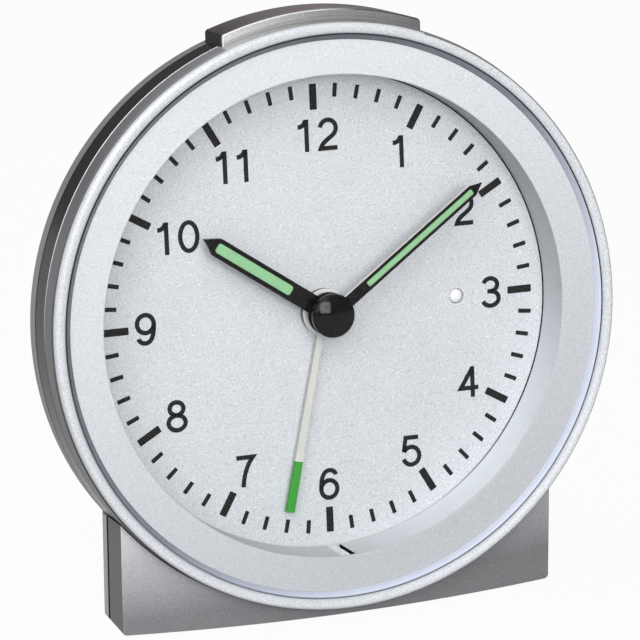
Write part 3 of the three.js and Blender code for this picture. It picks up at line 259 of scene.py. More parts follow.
# %% Lacquer, ink, mouldings and metals
black_lacquer = paint(
    "black_lacquer", level(15, WARM), level(20, WARM), 0.12, speck=0.4, bump=0.001, shine=0.2
)
cap_lacquer = paint(
    "cap_lacquer", level(21, WARM), level(25, WARM), 0.04, speck=0.4, bump=0.0, shine=0.17
)
# A light paint that makes a painted highlight on the minute hand's left side.
painted_edge_highlight = paint("painted_edge_highlight", level(232, WARM), level(244, WARM), 0.3, bump=0.001)
black_ink = paint("black_ink", level(34), level(42), 0.6, bump=0.001, shine=0.1)
lume_green = paint(
    "lume_green",
    level(250, (0.54, 0.77, 0.56)),
    level(250, (0.62, 0.81, 0.63)),
    0.7,
    speck=0.3,
    shine=0.2,
)
grey_moulded = paint("grey_moulded", level(62), level(74), 0.5, speck=0.25, bump=0.01)
white_moulded = paint("white_moulded", level(236), level(250), 0.25, speck=0.4, bump=0.001)
nylon = paint("nylon", level(226, (1, 0.98, 0.92)), level(238, (1, 0.98, 0.92)), 0.45, speck=0.4)
steel = paint("steel", level(168), level(190), 0.3, metallic=1.0, speck=0.3, bump=0.002)
brass = paint(
    "brass", level(200, (1, 0.84, 0.5)), level(220, (1, 0.86, 0.54)), 0.3, metallic=1.0, speck=0.3
)
ferrite = paint("ferrite", level(48), level(66), 0.6, speck=0.3, bump=0.02)
rubber = paint("rubber", level(30), level(42), 0.85, speck=0.25, bump=0.03)
board_green = paint(
    "board_green", level(120, (0.3, 1, 0.5)), level(138, (0.32, 1, 0.52)), 0.3, speck=0.6
)
print("with lacquers, mouldings and metals:", len(bpy.data.materials))

# %% [markdown]
# Lens
#
# The lens is thin clear plastic. Real refraction through so thin a sheet changes nothing that
# shows, and costs noise, so the sheet is nearly see-through with a faint shine of its own.

# %% The clear lens
lens_clear, lens_tree, lens_shader = new_material("lens_clear")
lens_dust = grain(lens_tree, 6).outputs["Fac"]
lens_rough = ramp(lens_tree, lens_dust, [(0.3, grey(0.03)), (0.7, grey(0.06))])
lens_tree.links.new(lens_rough, lens_shader.inputs["Roughness"])
lens_shader.inputs["Base Color"].default_value = level(30)
lens_shader.inputs["Alpha"].default_value = 0.03

# %% [markdown]
# Windings
#
# A coil is many turns of enamelled wire. At this size the turns only show as fine rings across the
# axis, so a wave pattern gives light and dark copper and lifts each turn a little.


# %% Wound copper wire
def wound(name, axis, pitch):
    """Copper rings across an axis of the piece, a pitch apart."""
    material, tree, shader = new_material(name)
    place = tree.nodes.new("ShaderNodeTexCoord")
    waves_in_20 = 0.31416
    wave = add_node(
        tree,
        "ShaderNodeTexWave",
        Vector=place.outputs["Object"],
        Scale=waves_in_20 / (pitch * MM),
        Distortion=0.3,
    )
    wave.bands_direction = axis
    dark, light = level(120, (1, 0.5, 0.3)), level(205, (1, 0.62, 0.4))
    colour = ramp(tree, wave.outputs["Fac"], [(0.1, dark), (0.9, light)])
    tree.links.new(colour, shader.inputs["Base Color"])
    relief = add_node(
        tree, "ShaderNodeBump", Height=wave.outputs["Fac"], Strength=1, Distance=0.05 * MM
    )
    tree.links.new(relief.outputs["Normal"], shader.inputs["Normal"])
    shader.inputs["Metallic"].default_value = 0.8
    shader.inputs["Roughness"].default_value = 0.35
    return material


copper_x = wound("copper_x", "X", 0.3)
copper_z = wound("copper_z", "Z", 0.3)
print("all shared finishes:", len(bpy.data.materials))

# %% [markdown]
# Rounding an outline
#
# On real mouldings no corner is knife sharp, and the small radii are what catches the light. Each
# corner of an outline is replaced by a short curve that starts and ends a set distance from it.


# %% Round the corners of an outline
def rounded(outline, radius, steps=4):
    """A closed outline whose corners are rounded by a radius, or less where an edge is short."""
    made = []
    for i, corner in enumerate(outline):
        here = Vector(corner)
        before = Vector(outline[i - 1]) - here
        after = Vector(outline[(i + 1) % len(outline)]) - here
        on_axis = abs(here.x) < 1e-6
        reach = min(radius, before.length * 0.45, after.length * 0.45)
        if on_axis or reach < 1e-4 or before.angle(after) > math.radians(165):
            made.append(here)
            continue
        start = here + before.normalized() * reach
        end = here + after.normalized() * reach
        for k in range(steps + 1):
            t = k / steps
            made.append(start * (1 - t) ** 2 + here * 2 * t * (1 - t) + end * t**2)
    return made


def arc(cx, cy, rx, ry, start, end, steps=16):
    """Points on an ellipse from one angle in degrees to another."""
    angles = [math.radians(start + (end - start) * k / steps) for k in range(steps + 1)]
    return [(cx + rx * math.cos(a), cy + ry * math.sin(a)) for a in angles]


# %% [markdown]
# From bmesh to piece
#
# Every mesh ends the same way: doubles are merged, faces turned outwards, the drawing frame's
# place worked into the vertices, and edges sharper than a set angle in degrees kept crisp under
# smooth shading. The object itself stays at the origin.

# %% Finish a mesh
CRISP = 38


def finish_mesh(bm, name, place, sharp=CRISP):
    """The bmesh as an object at the origin, placed in its mesh, with outward faces."""
    bmesh.ops.remove_doubles(bm, verts=bm.verts, dist=1e-5)
    bmesh.ops.recalc_face_normals(bm, faces=bm.faces)
    bmesh.ops.transform(bm, matrix=place, verts=bm.verts)
    mesh = bpy.data.meshes.new(name)
    bm.to_mesh(mesh)
    bm.free()
    mesh.shade_smooth()
    mesh.set_sharp_from_angle(angle=math.radians(sharp))
    made = bpy.data.objects.new(name, mesh)
    bpy.context.scene.collection.objects.link(made)
    return made


# %% [markdown]
# Turned pieces
#
# A drum is turned work: bezel, ring, bands and back are each one outline swept round the dial's
# axis. A Spin or a Screw modifier could do it, but a small function that lays the rings of
# vertices itself keeps the seam and the poles closed.


# %% Turn an outline
def turned(name, outline, place=ON_DIAL, sides=240, middle=(0, 0)):
    """A body of revolution about z from a closed (radius, z) outline."""
    bm = bmesh.new()
    cx, cy = middle
    turns = [2 * math.pi * k / sides for k in range(sides)]
    rings = []
    for r, z in outline:
        if abs(r) < 1e-6:
            rings.append([bm.verts.new((cx, cy, z))])
            continue
        rings.append([bm.verts.new((cx + r * math.cos(a), cy + r * math.sin(a), z)) for a in turns])
    for low, high in zip(rings, rings[1:] + rings[:1]):
        for k in range(sides):
            j = (k + 1) % sides
            corners = (low[k % len(low)], low[j % len(low)], high[j % len(high)], high[k % len(high)])
            unique = list(dict.fromkeys(corners))
            if len(unique) > 2:
                bm.faces.new(unique)
    return finish_mesh(bm, name, place)


# %% [markdown]
# Straight pieces and drills
#
# What isn't turned is mostly an outline run straight: stand, doors, blades and every tool that
# cuts. One function makes the prism, and short helpers give it boxes and circles.


# %% Run an outline straight
def prism(name, outline, z0, z1, place=ON_DIAL, sharp=CRISP):
    """A closed (x, y) outline run from z0 to z1."""
    bm = bmesh.new()
    low = [bm.verts.new((x, y, z0)) for x, y in outline]
    high = [bm.verts.new((x, y, z1)) for x, y in outline]
    bm.faces.new(low)
    bm.faces.new(high)
    count = len(low)
    for k in range(count):
        j = (k + 1) % count
        bm.faces.new((low[k], low[j], high[j], high[k]))
    return finish_mesh(bm, name, place, sharp)


def box_outline(x0, x1, y0, y1):
    return [(x0, y0), (x1, y0), (x1, y1), (x0, y1)]


def circle_outline(x, y, r, sides=48):
    return arc(x, y, r, r, 0, 360, sides)[:-1]


def drilled(name, x, y, r, z0, z1, sides=48):
    return prism(name, circle_outline(x, y, r, sides), z0, z1)


# %% [markdown]
# Cutting and joining
#
# The snooze bar sits in a slot through four turned pieces, and the stand's floor cuts three of
# them flat underneath. A Boolean modifier does such cuts as a workshop would, with the tool as a
# body of its own. The result is taken from the evaluated object, so that no modifier stays on the
# piece.


# %% Work modifiers into a mesh
def with_modifiers(piece):
    """The piece's mesh after its modifiers, which are then taken off."""
    evaluated = piece.evaluated_get(bpy.context.evaluated_depsgraph_get())
    mesh = bpy.data.meshes.new_from_object(evaluated)
    piece.modifiers.clear()
    piece.data = mesh
    return mesh


def applied(piece, sharp=CRISP):
    """The piece with its modifiers worked in, crisp at edges sharper than an angle."""
    mesh = with_modifiers(piece)
    mesh.shade_smooth()
    mesh.set_sharp_from_angle(angle=math.radians(sharp))
    return piece


def worked(piece, how, tools):
    """The piece with tools cut away, joined or kept in common, and the tools removed."""
    for tool in tools:
        modifier = piece.modifiers.new(tool.name, "BOOLEAN")
        modifier.operation = how
        modifier.solver = "EXACT"
        modifier.object = tool
    applied(piece)
    for tool in tools:
        bpy.data.objects.remove(tool)
    return piece


def cut(piece, *tools):
    return worked(piece, "DIFFERENCE", tools)


def joined(piece, *tools):
    return worked(piece, "UNION", tools)


# %% [markdown]
# Soft edges
#
# Where a straight piece shows its rim, a bevel of a tenth of a millimetre or so makes the thin
# bright or dark line that tells the eye how the piece was made.


# %% Bevel the sharp edges
def softened(piece, width=0.12, segments=2):
    """Bevels the sharp edges and works the bevel into the mesh."""
    modifier = piece.modifiers.new("soft_edges", "BEVEL")
    modifier.width = width * MM
    modifier.segments = segments
    modifier.limit_method = "ANGLE"
    modifier.angle_limit = math.radians(40)
    return applied(piece)


# %% [markdown]
# Dressing a node
#
# Each piece rides on the body of the node that it stands for, hides that node, and takes its
# finishes. One call does all three. A second helper gives single faces another finish by where they
# lie, for a painted front or for painted light and shade.

# %% One call that dresses a node
node_of = {n: b for b, names in frame["record"]["behaviour"]["bodies"].items() for n in names}


def evenly_shaded(piece):
    """Lets large faces rule the shading, so that flat parts stay flat beside small roundings."""
    piece.modifiers.new("even_shading", "WEIGHTED_NORMAL").keep_sharp = True
    with_modifiers(piece)


def stands_for(piece, node, *finishes, hides=True):
    """Gives a piece its materials and its body, in place of a CAD node."""
    evenly_shaded(piece)
    piece.data.materials.clear()
    for finish in finishes:
        piece.data.materials.append(finish)
    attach(piece, node_of[node])
    if hides:
        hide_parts(node)
    size = [round(v / MM, 1) for v in piece.dimensions]
    print(f"{piece.name}: {size} mm, {len(piece.data.polygons)} faces")
    return piece


def finish_faces(piece, place, choose):
    """Sets each face's finish to choose(middle, normal), both in a drawing frame."""
    back = place.inverted()
    turn = place.to_3x3().normalized().transposed()
    for face in piece.data.polygons:
        face.material_index = choose(back @ face.center, turn @ face.normal)


# %% [markdown]
# Shared sizes of the drum
#
# Heights are along the dial's axis, with 0 on the dial's face. The slot for the snooze bar goes
# through four pieces, so its tool is made afresh for each of them. It is a little larger than the
# bar all round.

# %% Sizes of the drum and the snooze slot
GAP = 0.3
DRUM_R = 50
BAND_FRONT = 8.3
REAR_SEAM = -1
SNOOZE_HALF = 17.6
SNOOZE_FRONT = 6
SNOOZE_BACK = -3
SLOT_FLOOR = 43.8
SLOT_GAP = 0.15


def snooze_slot():
    half = SNOOZE_HALF + SLOT_GAP
    outline = box_outline(-half, half, SLOT_FLOOR, DRUM_R + 5)
    return prism("snooze_slot", outline, SNOOZE_BACK - SLOT_GAP, SNOOZE_FRONT + SLOT_GAP)


print("slot is", 2 * (SNOOZE_HALF + SLOT_GAP), "mm long")

# %% [markdown]
# Paints of the bezel
#
# The silver bezel is a half-round bead with a narrow groove inside it and a short slope down to
# the dial ring. On the left the bead shades groove and slope, which makes a soft dark line; on the
# right the slope is bright and only the groove stays dark. That light and shade is painted: the
# slope's paint drifts from dark at the upper left to bright at the lower right, the groove's from
# dark at the top to bright at the bottom. The bead's outer side on the right, where it turns away
# from the light, takes a darker silver as painted shade.

# %% Four silvers for the bezel, three with painted light and shade
bezel_silver = paint("bezel_silver", level(184, COOL), level(230, COOL), 0.36)
slope_painted_light_shade = paint(
    "slope_painted_light_shade",
    level(224, ICE),
    level(236, ICE),
    0.3,
    drift=((0.00747, 0, -0.00747), 0.88, [(0.0, 122), (0.15, 112), (0.5, 160), (0.85, 252)]),
)
groove_painted_light_shade = paint(
    "groove_painted_light_shade",
    level(200, ICE),
    level(210, ICE),
    0.6,
    shine=0.1,
    drift=((0, 0, -0.01), 1, [(0.0, 112), (0.15, 86), (0.5, 140), (0.8, 220), (1.0, 225)]),
)
bead_painted_shade = paint("bead_painted_shade", level(118), level(132), 0.5, shine=0.2)
print("finishes so far:", len(bpy.data.materials))

# %% [markdown]
# Bezel
#
# The whole bezel is one outline, turned. Which of the four silvers a face takes follows from its
# radius, its height and, for the painted shade on the bead's outer side, its direction in degrees
# round the dial, counted from three o'clock.

# %% Turn the bezel
BEAD_OUTER = 49.78
BEAD_CREST = 49.2
BEAD_INNER = 47.98
BEAD_Z = 0.82
SLOPE_TOP = 47.76
SLOPE_FOOT = 8.64
PAINTED_SHADE_FROM = -60
PAINTED_SHADE_TO = 71
BEZEL_TOP = BAND_FRONT + 1.93
bead_z = BEZEL_TOP - BEAD_Z
bezel_outline = [
    (49.5, BAND_FRONT + 0.06),
    (49.74, BAND_FRONT + 0.14),
    *arc(BEAD_CREST, bead_z, BEAD_OUTER - BEAD_CREST, BEAD_Z, 0, 90, 12),
    *arc(BEAD_CREST, bead_z, BEAD_CREST - BEAD_INNER, BEAD_Z, 90, 180, 14)[1:],
    (BEAD_INNER, 9.02),
    (47.78, 9.02),
    (SLOPE_TOP, 9.5),
    (47.68, 9.6),
    (46.9, SLOPE_FOOT),
    (46.9, 6.05),
    (48.2, 6.05),
    (48.2, BAND_FRONT + 0.06),
]
bezel = cut(turned("bezel_bead", bezel_outline), snooze_slot())
stands_for(bezel, "bezel", bezel_silver, slope_painted_light_shade, groove_painted_light_shade, bead_painted_shade)


# Slope and groove take painted light and shade, the bead's right flank painted shade.
def bezel_finish(at, way):
    reach = math.hypot(at.x, at.y)
    if reach < SLOPE_TOP:
        return int(at.z > SLOPE_FOOT)
    if reach < BEAD_INNER + 0.05 and at.z < bead_z:
        return 2
    on_flank = reach > BEAD_CREST and way.z < 0.8
    turned_by = math.degrees(math.atan2(at.y, at.x))
    return 3 if on_flank and PAINTED_SHADE_FROM < turned_by < PAINTED_SHADE_TO else 0


finish_faces(bezel, ON_DIAL, bezel_finish)

# %% [markdown]
# Paints of ring and dial
#
# The ring is a paler silver than the bezel, with painted shade that makes it a little darker
# towards the lower right. Its wall carries a painted shadow at the upper left and painted light at
# the lower right. The dial sparkles more than both. At its edge lies a painted shadow line between
# dial and wall, dark on the right and faint below.

# %% Silvers for ring and dial
ring_silver_painted_shade = paint(
    "ring_silver_painted_shade",
    level(208, COOL),
    level(240, COOL),
    0.45,
    drift=((0.004, 0, -0.0095), 0.9, [(0.0, 252), (0.24, 246), (0.59, 231), (0.84, 221)]),
)
wall_painted_light_shade = paint(
    "wall_painted_light_shade",
    level(246, COOL),
    level(254, COOL),
    0.3,
    drift=((0.0085, 0, -0.0085), 0.93, [(0.36, 131), (0.49, 147), (0.615, 164), (0.84, 206), (1.0, 255)]),
)
dial_silver = paint("dial_silver", level(192, COOL), level(238, COOL), 0.5)
painted_shadow_line = paint(
    "painted_shadow_line",
    level(200),
    level(206),
    0.8,
    shine=0.0,
    drift=((0.0125, 0, 0.00625), -0.075, [(0.25, 255), (0.42, 170), (0.6, 36)]),
)
print("finishes so far:", len(bpy.data.materials))

# %% [markdown]
# Lens and dial ring
#
# The lens snaps behind the bead. Under it the pale ring covers the dial's edge with a straight
# wall, so that the dial lies deep in the clock. The ring's inner edge is rounded, which gives the
# fine line round the opening. A slit in the wall at six o'clock shows the end of the light guide.
# The slit's right side wall lies in shade, and that shade is painted near black.

# %% Turn the lens and the ring, and cut the light window
lens = turned("lens_disc", [(0, 8.9), (47.05, 8.9), (47.2, 9.5), (0, 9.5)])
stands_for(lens, "lens", lens_clear)

WALL_R = 41
WALL_TOP = 8.05
EDGE_R = 0.25
ring_outline = [
    (41.04, 0.14),
    (42, 0.14),
    (42, 7.3),
    (46.88, 7.3),
    (46.88, 8.62),
    (46.6, 8.6),
    *arc(WALL_R + EDGE_R, WALL_TOP, EDGE_R, EDGE_R, 90, 180, 6),
]
SLIT_EDGE = 1.55
light_slit = prism("light_slit", box_outline(-0.93, SLIT_EDGE, -42.4, -40), 0, 7.95)
dial_ring = cut(turned("dial_ring_shell", ring_outline), light_slit)
stands_for(dial_ring, "dial_ring", ring_silver_painted_shade, wall_painted_light_shade, painted_seam_shade)


# The wall takes painted light and shade; the slit's right wall takes near black painted shade.
def ring_finish(at, way):
    if way.x < -0.9 and abs(at.x - SLIT_EDGE) < 0.05 and at.y < -40:
        return 2
    return int(math.hypot(at.x, at.y) < WALL_R + 0.5 and at.z < WALL_TOP)


finish_faces(dial_ring, ON_DIAL, ring_finish)

# %% [markdown]
# Dial
#
# The dial is a thin disc with a fine sparkle. It has a hole in the middle for the hands' tubes and
# a small one at three o'clock, where a white dome over the light sensor shows. Its outermost edge
# takes the painted shadow line.

# %% Turn the dial and the sensor's dome
SENSOR_X = 24.7
SHADOW_LINE_FROM = 40.84
dial = turned("dial_disc", [(2.8, -0.8), (42.5, -0.8), (42.5, 0), (SHADOW_LINE_FROM, 0), (2.8, 0)])
cut(dial, drilled("sensor_hole", SENSOR_X, 0, 1.35, -2, 1))
stands_for(dial, "dial", dial_silver, painted_shadow_line)
# The outermost ring of the dial's face takes the painted shadow line.
finish_faces(dial, ON_DIAL, lambda at, way: int(math.hypot(at.x, at.y) > SHADOW_LINE_FROM and at.z > -0.1))

dome_outline = [
    (0, -3.5),
    (1.9, -3.5),
    (1.9, -2.6),
    (1.28, -2.6),
    *arc(0, -0.6, 1.28, 1.2, 0, 90, 10)[:-1],
    (0, 0.6),
]
dome = turned("sensor_dome_cap", dome_outline, sides=48, middle=(SENSOR_X, 0))
stands_for(dome, "sensor_dome", white_moulded)

# %% [markdown]
# A tree that prints marks
#
# Sixty marks are printed round the dial, every fifth one longer and wider. They repeat by a rule,
# so Geometry Nodes make them: a circle gives the places, one small rounded rectangle is the mark,
# each copy is turned to point at the middle, and the tree keeps or drops every fifth place.


# %% Helpers for node trees
def geometry_tree(name, inputs):
    """An empty tree with named inputs, and its input and output nodes."""
    tree = bpy.data.node_groups.new(name, "GeometryNodeTree")
    for label, kind in inputs:
        tree.interface.new_socket(label, in_out="INPUT", socket_type=kind)
    tree.interface.new_socket("Geometry", in_out="OUTPUT", socket_type="NodeSocketGeometry")
    return tree, tree.nodes.new("NodeGroupInput"), tree.nodes.new("NodeGroupOutput")


def math_node(tree, operation, *values):
    node = tree.nodes.new("ShaderNodeMath")
    node.operation = operation
    for socket, value in zip(node.inputs, values):
        if isinstance(value, bpy.types.NodeSocket):
            tree.links.new(value, socket)
        else:
            socket.default_value = value
    return node.outputs[0]


# %% [markdown]
# One mark
#
# A mark is printed ink: a rectangle with slightly rounded corners and a little thickness, which
# also keeps it clear of the dial's face. The rectangle is a curve, its corners are filleted, it is
# filled, and the filled face is pushed out. The same face turned over closes the underside.

# %% The first half of the tree makes one mark
mark_inputs = [
    ("Places", "NodeSocketInt"),
    ("Radius", "NodeSocketFloat"),
    ("Length", "NodeSocketFloat"),
    ("Width", "NodeSocketFloat"),
    ("Corner", "NodeSocketFloat"),
    ("Thickness", "NodeSocketFloat"),
    ("Hour Marks", "NodeSocketBool"),
    ("Ink", "NodeSocketMaterial"),
]
marks_tree, given, result = geometry_tree("marks_round_dial", mark_inputs)
rectangle = add_node(
    marks_tree,
    "GeometryNodeCurvePrimitiveQuadrilateral",
    Width=given.outputs["Length"],
    Height=given.outputs["Width"],
)
fillet = add_node(
    marks_tree,
    "GeometryNodeFilletCurve",
    Curve=rectangle.outputs["Curve"],
    Radius=given.outputs["Corner"],
)
fillet.mode = "POLY"
fillet.inputs["Count"].default_value = 4
filled = add_node(marks_tree, "GeometryNodeFillCurve", Curve=fillet.outputs["Curve"])
filled.mode = "NGONS"
raised = add_node(
    marks_tree,
    "GeometryNodeExtrudeMesh",
    Mesh=filled.outputs["Mesh"],
    Offset=(0, 0, 1),
    Offset_Scale=given.outputs["Thickness"],
)
underside = add_node(marks_tree, "GeometryNodeFlipFaces", Mesh=filled.outputs["Mesh"])
both = marks_tree.nodes.new("GeometryNodeJoinGeometry")
marks_tree.links.new(raised.outputs["Mesh"], both.inputs["Geometry"])
marks_tree.links.new(underside.outputs["Mesh"], both.inputs["Geometry"])
mark = add_node(marks_tree, "GeometryNodeMergeByDistance", Geometry=both.outputs["Geometry"])
print("nodes for one mark:", len(marks_tree.nodes))

# %% [markdown]
# Marks round the dial
#
# The second half sets the mark on the points of a circle. The index of a point tells whether it is
# an hour: its remainder after division by five is nought. Copies start as instances and are made
# real, because an exported model drops instances.

# %% The second half of the tree repeats it
circle = add_node(
    marks_tree,
    "GeometryNodeMeshCircle",
    Vertices=given.outputs["Places"],
    Radius=given.outputs["Radius"],
)
index = marks_tree.nodes.new("GeometryNodeInputIndex")
fifth = math_node(marks_tree, "MODULO", index.outputs[0], 5.0)
is_hour = math_node(marks_tree, "COMPARE", fifth, 0.0, 0.1)
wanted = math_node(marks_tree, "COMPARE", is_hour, given.outputs["Hour Marks"], 0.1)
place_node = marks_tree.nodes.new("GeometryNodeInputPosition")
align = add_node(marks_tree, "FunctionNodeAlignRotationToVector", Vector=place_node.outputs[0])
align.axis = "X"
spread = add_node(
    marks_tree,
    "GeometryNodeInstanceOnPoints",
    Points=circle.outputs["Mesh"],
    Selection=wanted,
    Instance=mark.outputs["Geometry"],
    Rotation=align.outputs["Rotation"],
)
real = add_node(
    marks_tree, "GeometryNodeRealizeInstances", Geometry=spread.outputs["Instances"]
)
inked = add_node(
    marks_tree,
    "GeometryNodeSetMaterial",
    Geometry=real.outputs["Geometry"],
    Material=given.outputs["Ink"],
)
marks_tree.links.new(inked.outputs["Geometry"], result.inputs["Geometry"])
print("nodes in the whole tree:", len(marks_tree.nodes))

# %% [markdown]
# Running a tree
#
# A tree runs as a modifier on an empty mesh. Its inputs are set by their identifiers before the
# object is first evaluated, the result is taken as a plain mesh, and the place is worked in.


# %% Run a tree into a plain mesh
def grown(name, tree, values, place):
    """An object whose mesh the tree made, with its place in the mesh."""
    host = bpy.data.objects.new(name, bpy.data.meshes.new(name + "_seed"))
    bpy.context.scene.collection.objects.link(host)
    modifier = host.modifiers.new("tree", "NODES")
    modifier.node_group = tree
    for item in tree.interface.items_tree:
        if item.item_type == "SOCKET" and item.in_out == "INPUT" and item.name in values:
            modifier[item.identifier] = values[item.name]
    applied(host, 30)
    bm = bmesh.new()
    bm.from_mesh(host.data)
    bmesh.ops.recalc_face_normals(bm, faces=bm.faces)
    bm.to_mesh(host.data)
    bm.free()
    host.data.transform(place)
    return host


INK = 0.03
mark_sizes = [("hour_marks", 36.5, 4.4, 1.28, True), ("minute_marks", 37.58, 2.35, 0.74, False)]
for name, radius, length, width, hours in mark_sizes:
    values = {
        "Places": 60,
        "Radius": radius,
        "Length": length,
        "Width": width,
        "Corner": 0.13,
        "Thickness": INK,
        "Hour Marks": hours,
        "Ink": black_ink,
    }
    marks = grown(name, marks_tree, values, ON_DIAL @ Matrix.Translation((0, 0, 0.002)))
    stands_for(marks, "dial", black_ink, hides=False)

# %% [markdown]
# Numerals
#
# The numerals are plain, upright figures with one stroke width. A font would bring its own shapes,
# so each figure is drawn as a pen would: a few lines and arcs. The ten figures then serve all
# twelve hours.


# %% The ten figures as pen strokes
def bezier(p0, p1, p2, p3, steps=14):
    """Points on a cubic curve between p0 and p3."""
    made = []
    for k in range(steps + 1):
        t = k / steps
        w = ((1 - t) ** 3, 3 * t * (1 - t) ** 2, 3 * t * t * (1 - t), t**3)
        made.append(tuple(sum(c * p[i] for c, p in zip(w, (p0, p1, p2, p3))) for i in (0, 1)))
    return made


two_foot = bezier((1.23, 0.27), (0.75, -0.6), (-1.1, -1.15), (-1.4, -2.4))[1:]
six_back = bezier((0.14, 2.4), (-1.0, 2.4), (-1.44, 1.0), (-1.44, -0.75))[1:]
seven_leg = bezier((1.38, 2.4), (0.4, 1.3), (-0.4, -0.6), (-0.52, -2.75))[1:]
six = [arc(0.02, -0.88, 1.46, 1.52, 0, 360, 40), arc(0.14, 1.32, 1.2, 1.08, 12, 90) + six_back]
figures = {
    "0": [arc(0, 0, 1.5, 2.4, 0, 360, 48)],
    "1": [
        [(0.35, 2.75), (0.35, -2.75)],
        bezier((-1.2, 1.52), (-0.5, 1.55), (-0.05, 1.8), (0.22, 2.62)),
    ],
    "2": [arc(0, 0.98, 1.42, 1.42, 172, -30) + two_foot + [(1.62, -2.4)]],
    "3": [
        arc(-0.08, 1.27, 1.3, 1.13, 162, -90),
        arc(-0.08, -1.13, 1.5, 1.27, 90, -162),
        [(-0.65, 0.14), (-0.02, 0.14)],
    ],
    "4": [[(0.72, -2.75), (0.72, 2.65)], [(0.68, 2.3), (-1.5, -1.1), (1.78, -1.1)]],
    "5": [
        [(1.38, 2.4), (-0.98, 2.4), (-1.36, -0.1)],
        arc(-0.02, -0.83, 1.5, 1.57, 150, -162),
    ],
    "6": six,
    "7": [[(-1.62, 2.4), (1.38, 2.4)] + seven_leg],
    "8": [arc(0, 1.29, 1.22, 1.11, 0, 360, 40), arc(0, -1.13, 1.5, 1.27, 0, 360, 44)],
    "9": [[(-x, -y) for x, y in stroke] for stroke in six],
}
print("strokes in all figures:", sum(len(strokes) for strokes in figures.values()))

# %% [markdown]
# Ink along a stroke
#
# A stroke becomes ink when it is widened to both sides. At each point the side step follows the
# mitre between the two neighbouring directions, so that corners stay full, and a stroke that ends
# where it began is closed into a loop.


# %% Widen strokes into thin ink
def stroke_sides(points, half, closed):
    """The two side points of a stroke at each of its points."""
    count = len(points)
    sides = []
    for i, point in enumerate(points):
        back = points[i - 1] if i or closed else None
        ahead = points[(i + 1) % count] if i < count - 1 or closed else None
        into = (point - back if back is not None else ahead - point).normalized()
        out = (ahead - point).normalized() if ahead is not None else into
        across = Vector((-into.y, into.x))
        normal = (across + Vector((-out.y, out.x))).normalized()
        step = normal * half / max(0.35, normal.dot(across))
        sides.append((point + step, point - step))
    return sides


def widened(bm, stroke, x, y, half):
    """A ribbon of ink along a stroke; one that ends where it began is a loop."""
    points = [Vector((px + x, py + y)) for px, py in stroke]
    closed = (points[0] - points[-1]).length < 1e-6
    if closed:
        points.pop()
    sides = stroke_sides(points, half, closed)
    rows = [[bm.verts.new((p.x, p.y, z)) for p in pair for z in (0, INK)] for pair in sides]
    for i in range(len(rows) if closed else len(rows) - 1):
        a, b = rows[i], rows[(i + 1) % len(rows)]
        for m, n in ((0, 1), (1, 3), (3, 2), (2, 0)):
            bm.faces.new((a[m], a[n], b[n], b[m]))
    if not closed:
        for row in (rows[0], rows[-1]):
            bm.faces.new((row[0], row[1], row[3], row[2]))


# %% [markdown]
# Printing the hours
#
# Each numeral stands upright at its own place on the dial, a little inside the hour marks.

# %% Set the figures round the dial
FIGURE_STROKE = 0.78
FIGURE_PLACES = [
    ("1", -1.75, 30.0),
    ("2", 2.45, 30.0),
    ("1", 15.25, 25.9),
    ("2", 26.7, 14.9),
    ("3", 31.2, 0.0),
    ("4", 26.5, -15.3),
    ("5", 15.4, -26.3),
    ("6", 0.1, -30.3),
    ("7", -14.8, -26.3),
    ("8", -26.6, -15.4),
    ("9", -31.3, 0.0),
    ("1", -27.25, 14.9),
    ("0", -23.0, 14.9),
    ("1", -16.45, 25.9),
    ("1", -12.75, 25.9),
]
numerals_bm = bmesh.new()
for figure, x, y in FIGURE_PLACES:
    for stroke in figures[figure]:
        widened(numerals_bm, stroke, x, y, FIGURE_STROKE / 2)
numerals = finish_mesh(numerals_bm, "numerals", ON_DIAL)
stands_for(numerals, "dial", black_ink, hides=False)

# %% [markdown]
# Paints of the bands
#
# Seen from the side the drum is three bands: a grey one behind the bezel, a dark glossy one, and
# the domed back in grey again. The grey band carries painted light that makes it lighter towards
# the top. Just before the snooze bar the band is silver like the bar's plate, with painted light
# that makes it lighter on the left. Both plate and band change over the bar's length, so they share
# one direction: its value runs from 0 at the bar's left end to 1 at its right end.

# %% Greys for the bands
ACROSS_BAR = (0.0284, 0, 0)
band_grey_painted_light = paint(
    "band_grey_painted_light",
    level(136, DUSK),
    level(160, DUSK),
    0.4,
    speck=0.16,
    shine=0.2,
    drift=((0, 0, 0.01), -0.06, [(0.0, 152), (0.5, 152), (0.75, 164), (0.88, 190), (1.0, 250)]),
)
strip_silver_painted_light = paint(
    "strip_silver_painted_light",
    level(200),
    level(254),
    0.45,
    shine=0.2,
    drift=(ACROSS_BAR, 0.5, [(0.0, 179), (0.5, 139), (1.0, 119)]),
)
chamfer_painted_light_shade = paint(
    "chamfer_painted_light_shade",
    level(240, DUSK),
    level(250, DUSK),
    0.3,
    drift=((0, 0, 0.05), -2.4, [(0.0, 60), (0.5, 190), (1.0, 235)]),
)
print("finishes so far:", len(bpy.data.materials))

# %% [markdown]
# The grey band
#
# The thin dark lines between the bands are real gaps. The stand's floor cuts the bands flat
# underneath.

# %% Turn the grey band
FLAT_Z = 1.7
EDGE_Z = 4.2


def flat_floor():
    return prism("flat_floor", box_outline(-60, 60, -40, 60), -10, FLAT_Z, ON_STAND)


housing_outline = [
    (DRUM_R, EDGE_Z + 0.1),
    *arc(49.88, BAND_FRONT - 0.14, 0.12, 0.12, 0, 90, 4),
    (48.5, BAND_FRONT - 0.02),
    (48.5, 5.6),
    (46.2, 5.6),
    (46.2, 3.05),
    (48.2, 3.05),
    (48.2, EDGE_Z),
    (49.92, EDGE_Z),
]
housing = cut(turned("front_band", housing_outline), snooze_slot(), flat_floor())
stands_for(housing, "front_housing", band_grey_painted_light, strip_silver_painted_light)


# The strip before the bar takes the silver with painted light.
def before_the_bar(at, way):
    return int(at.z > SNOOZE_FRONT and abs(at.x) < SNOOZE_HALF and at.y > SLOT_FLOOR)


finish_faces(housing, ON_DIAL, before_the_bar)
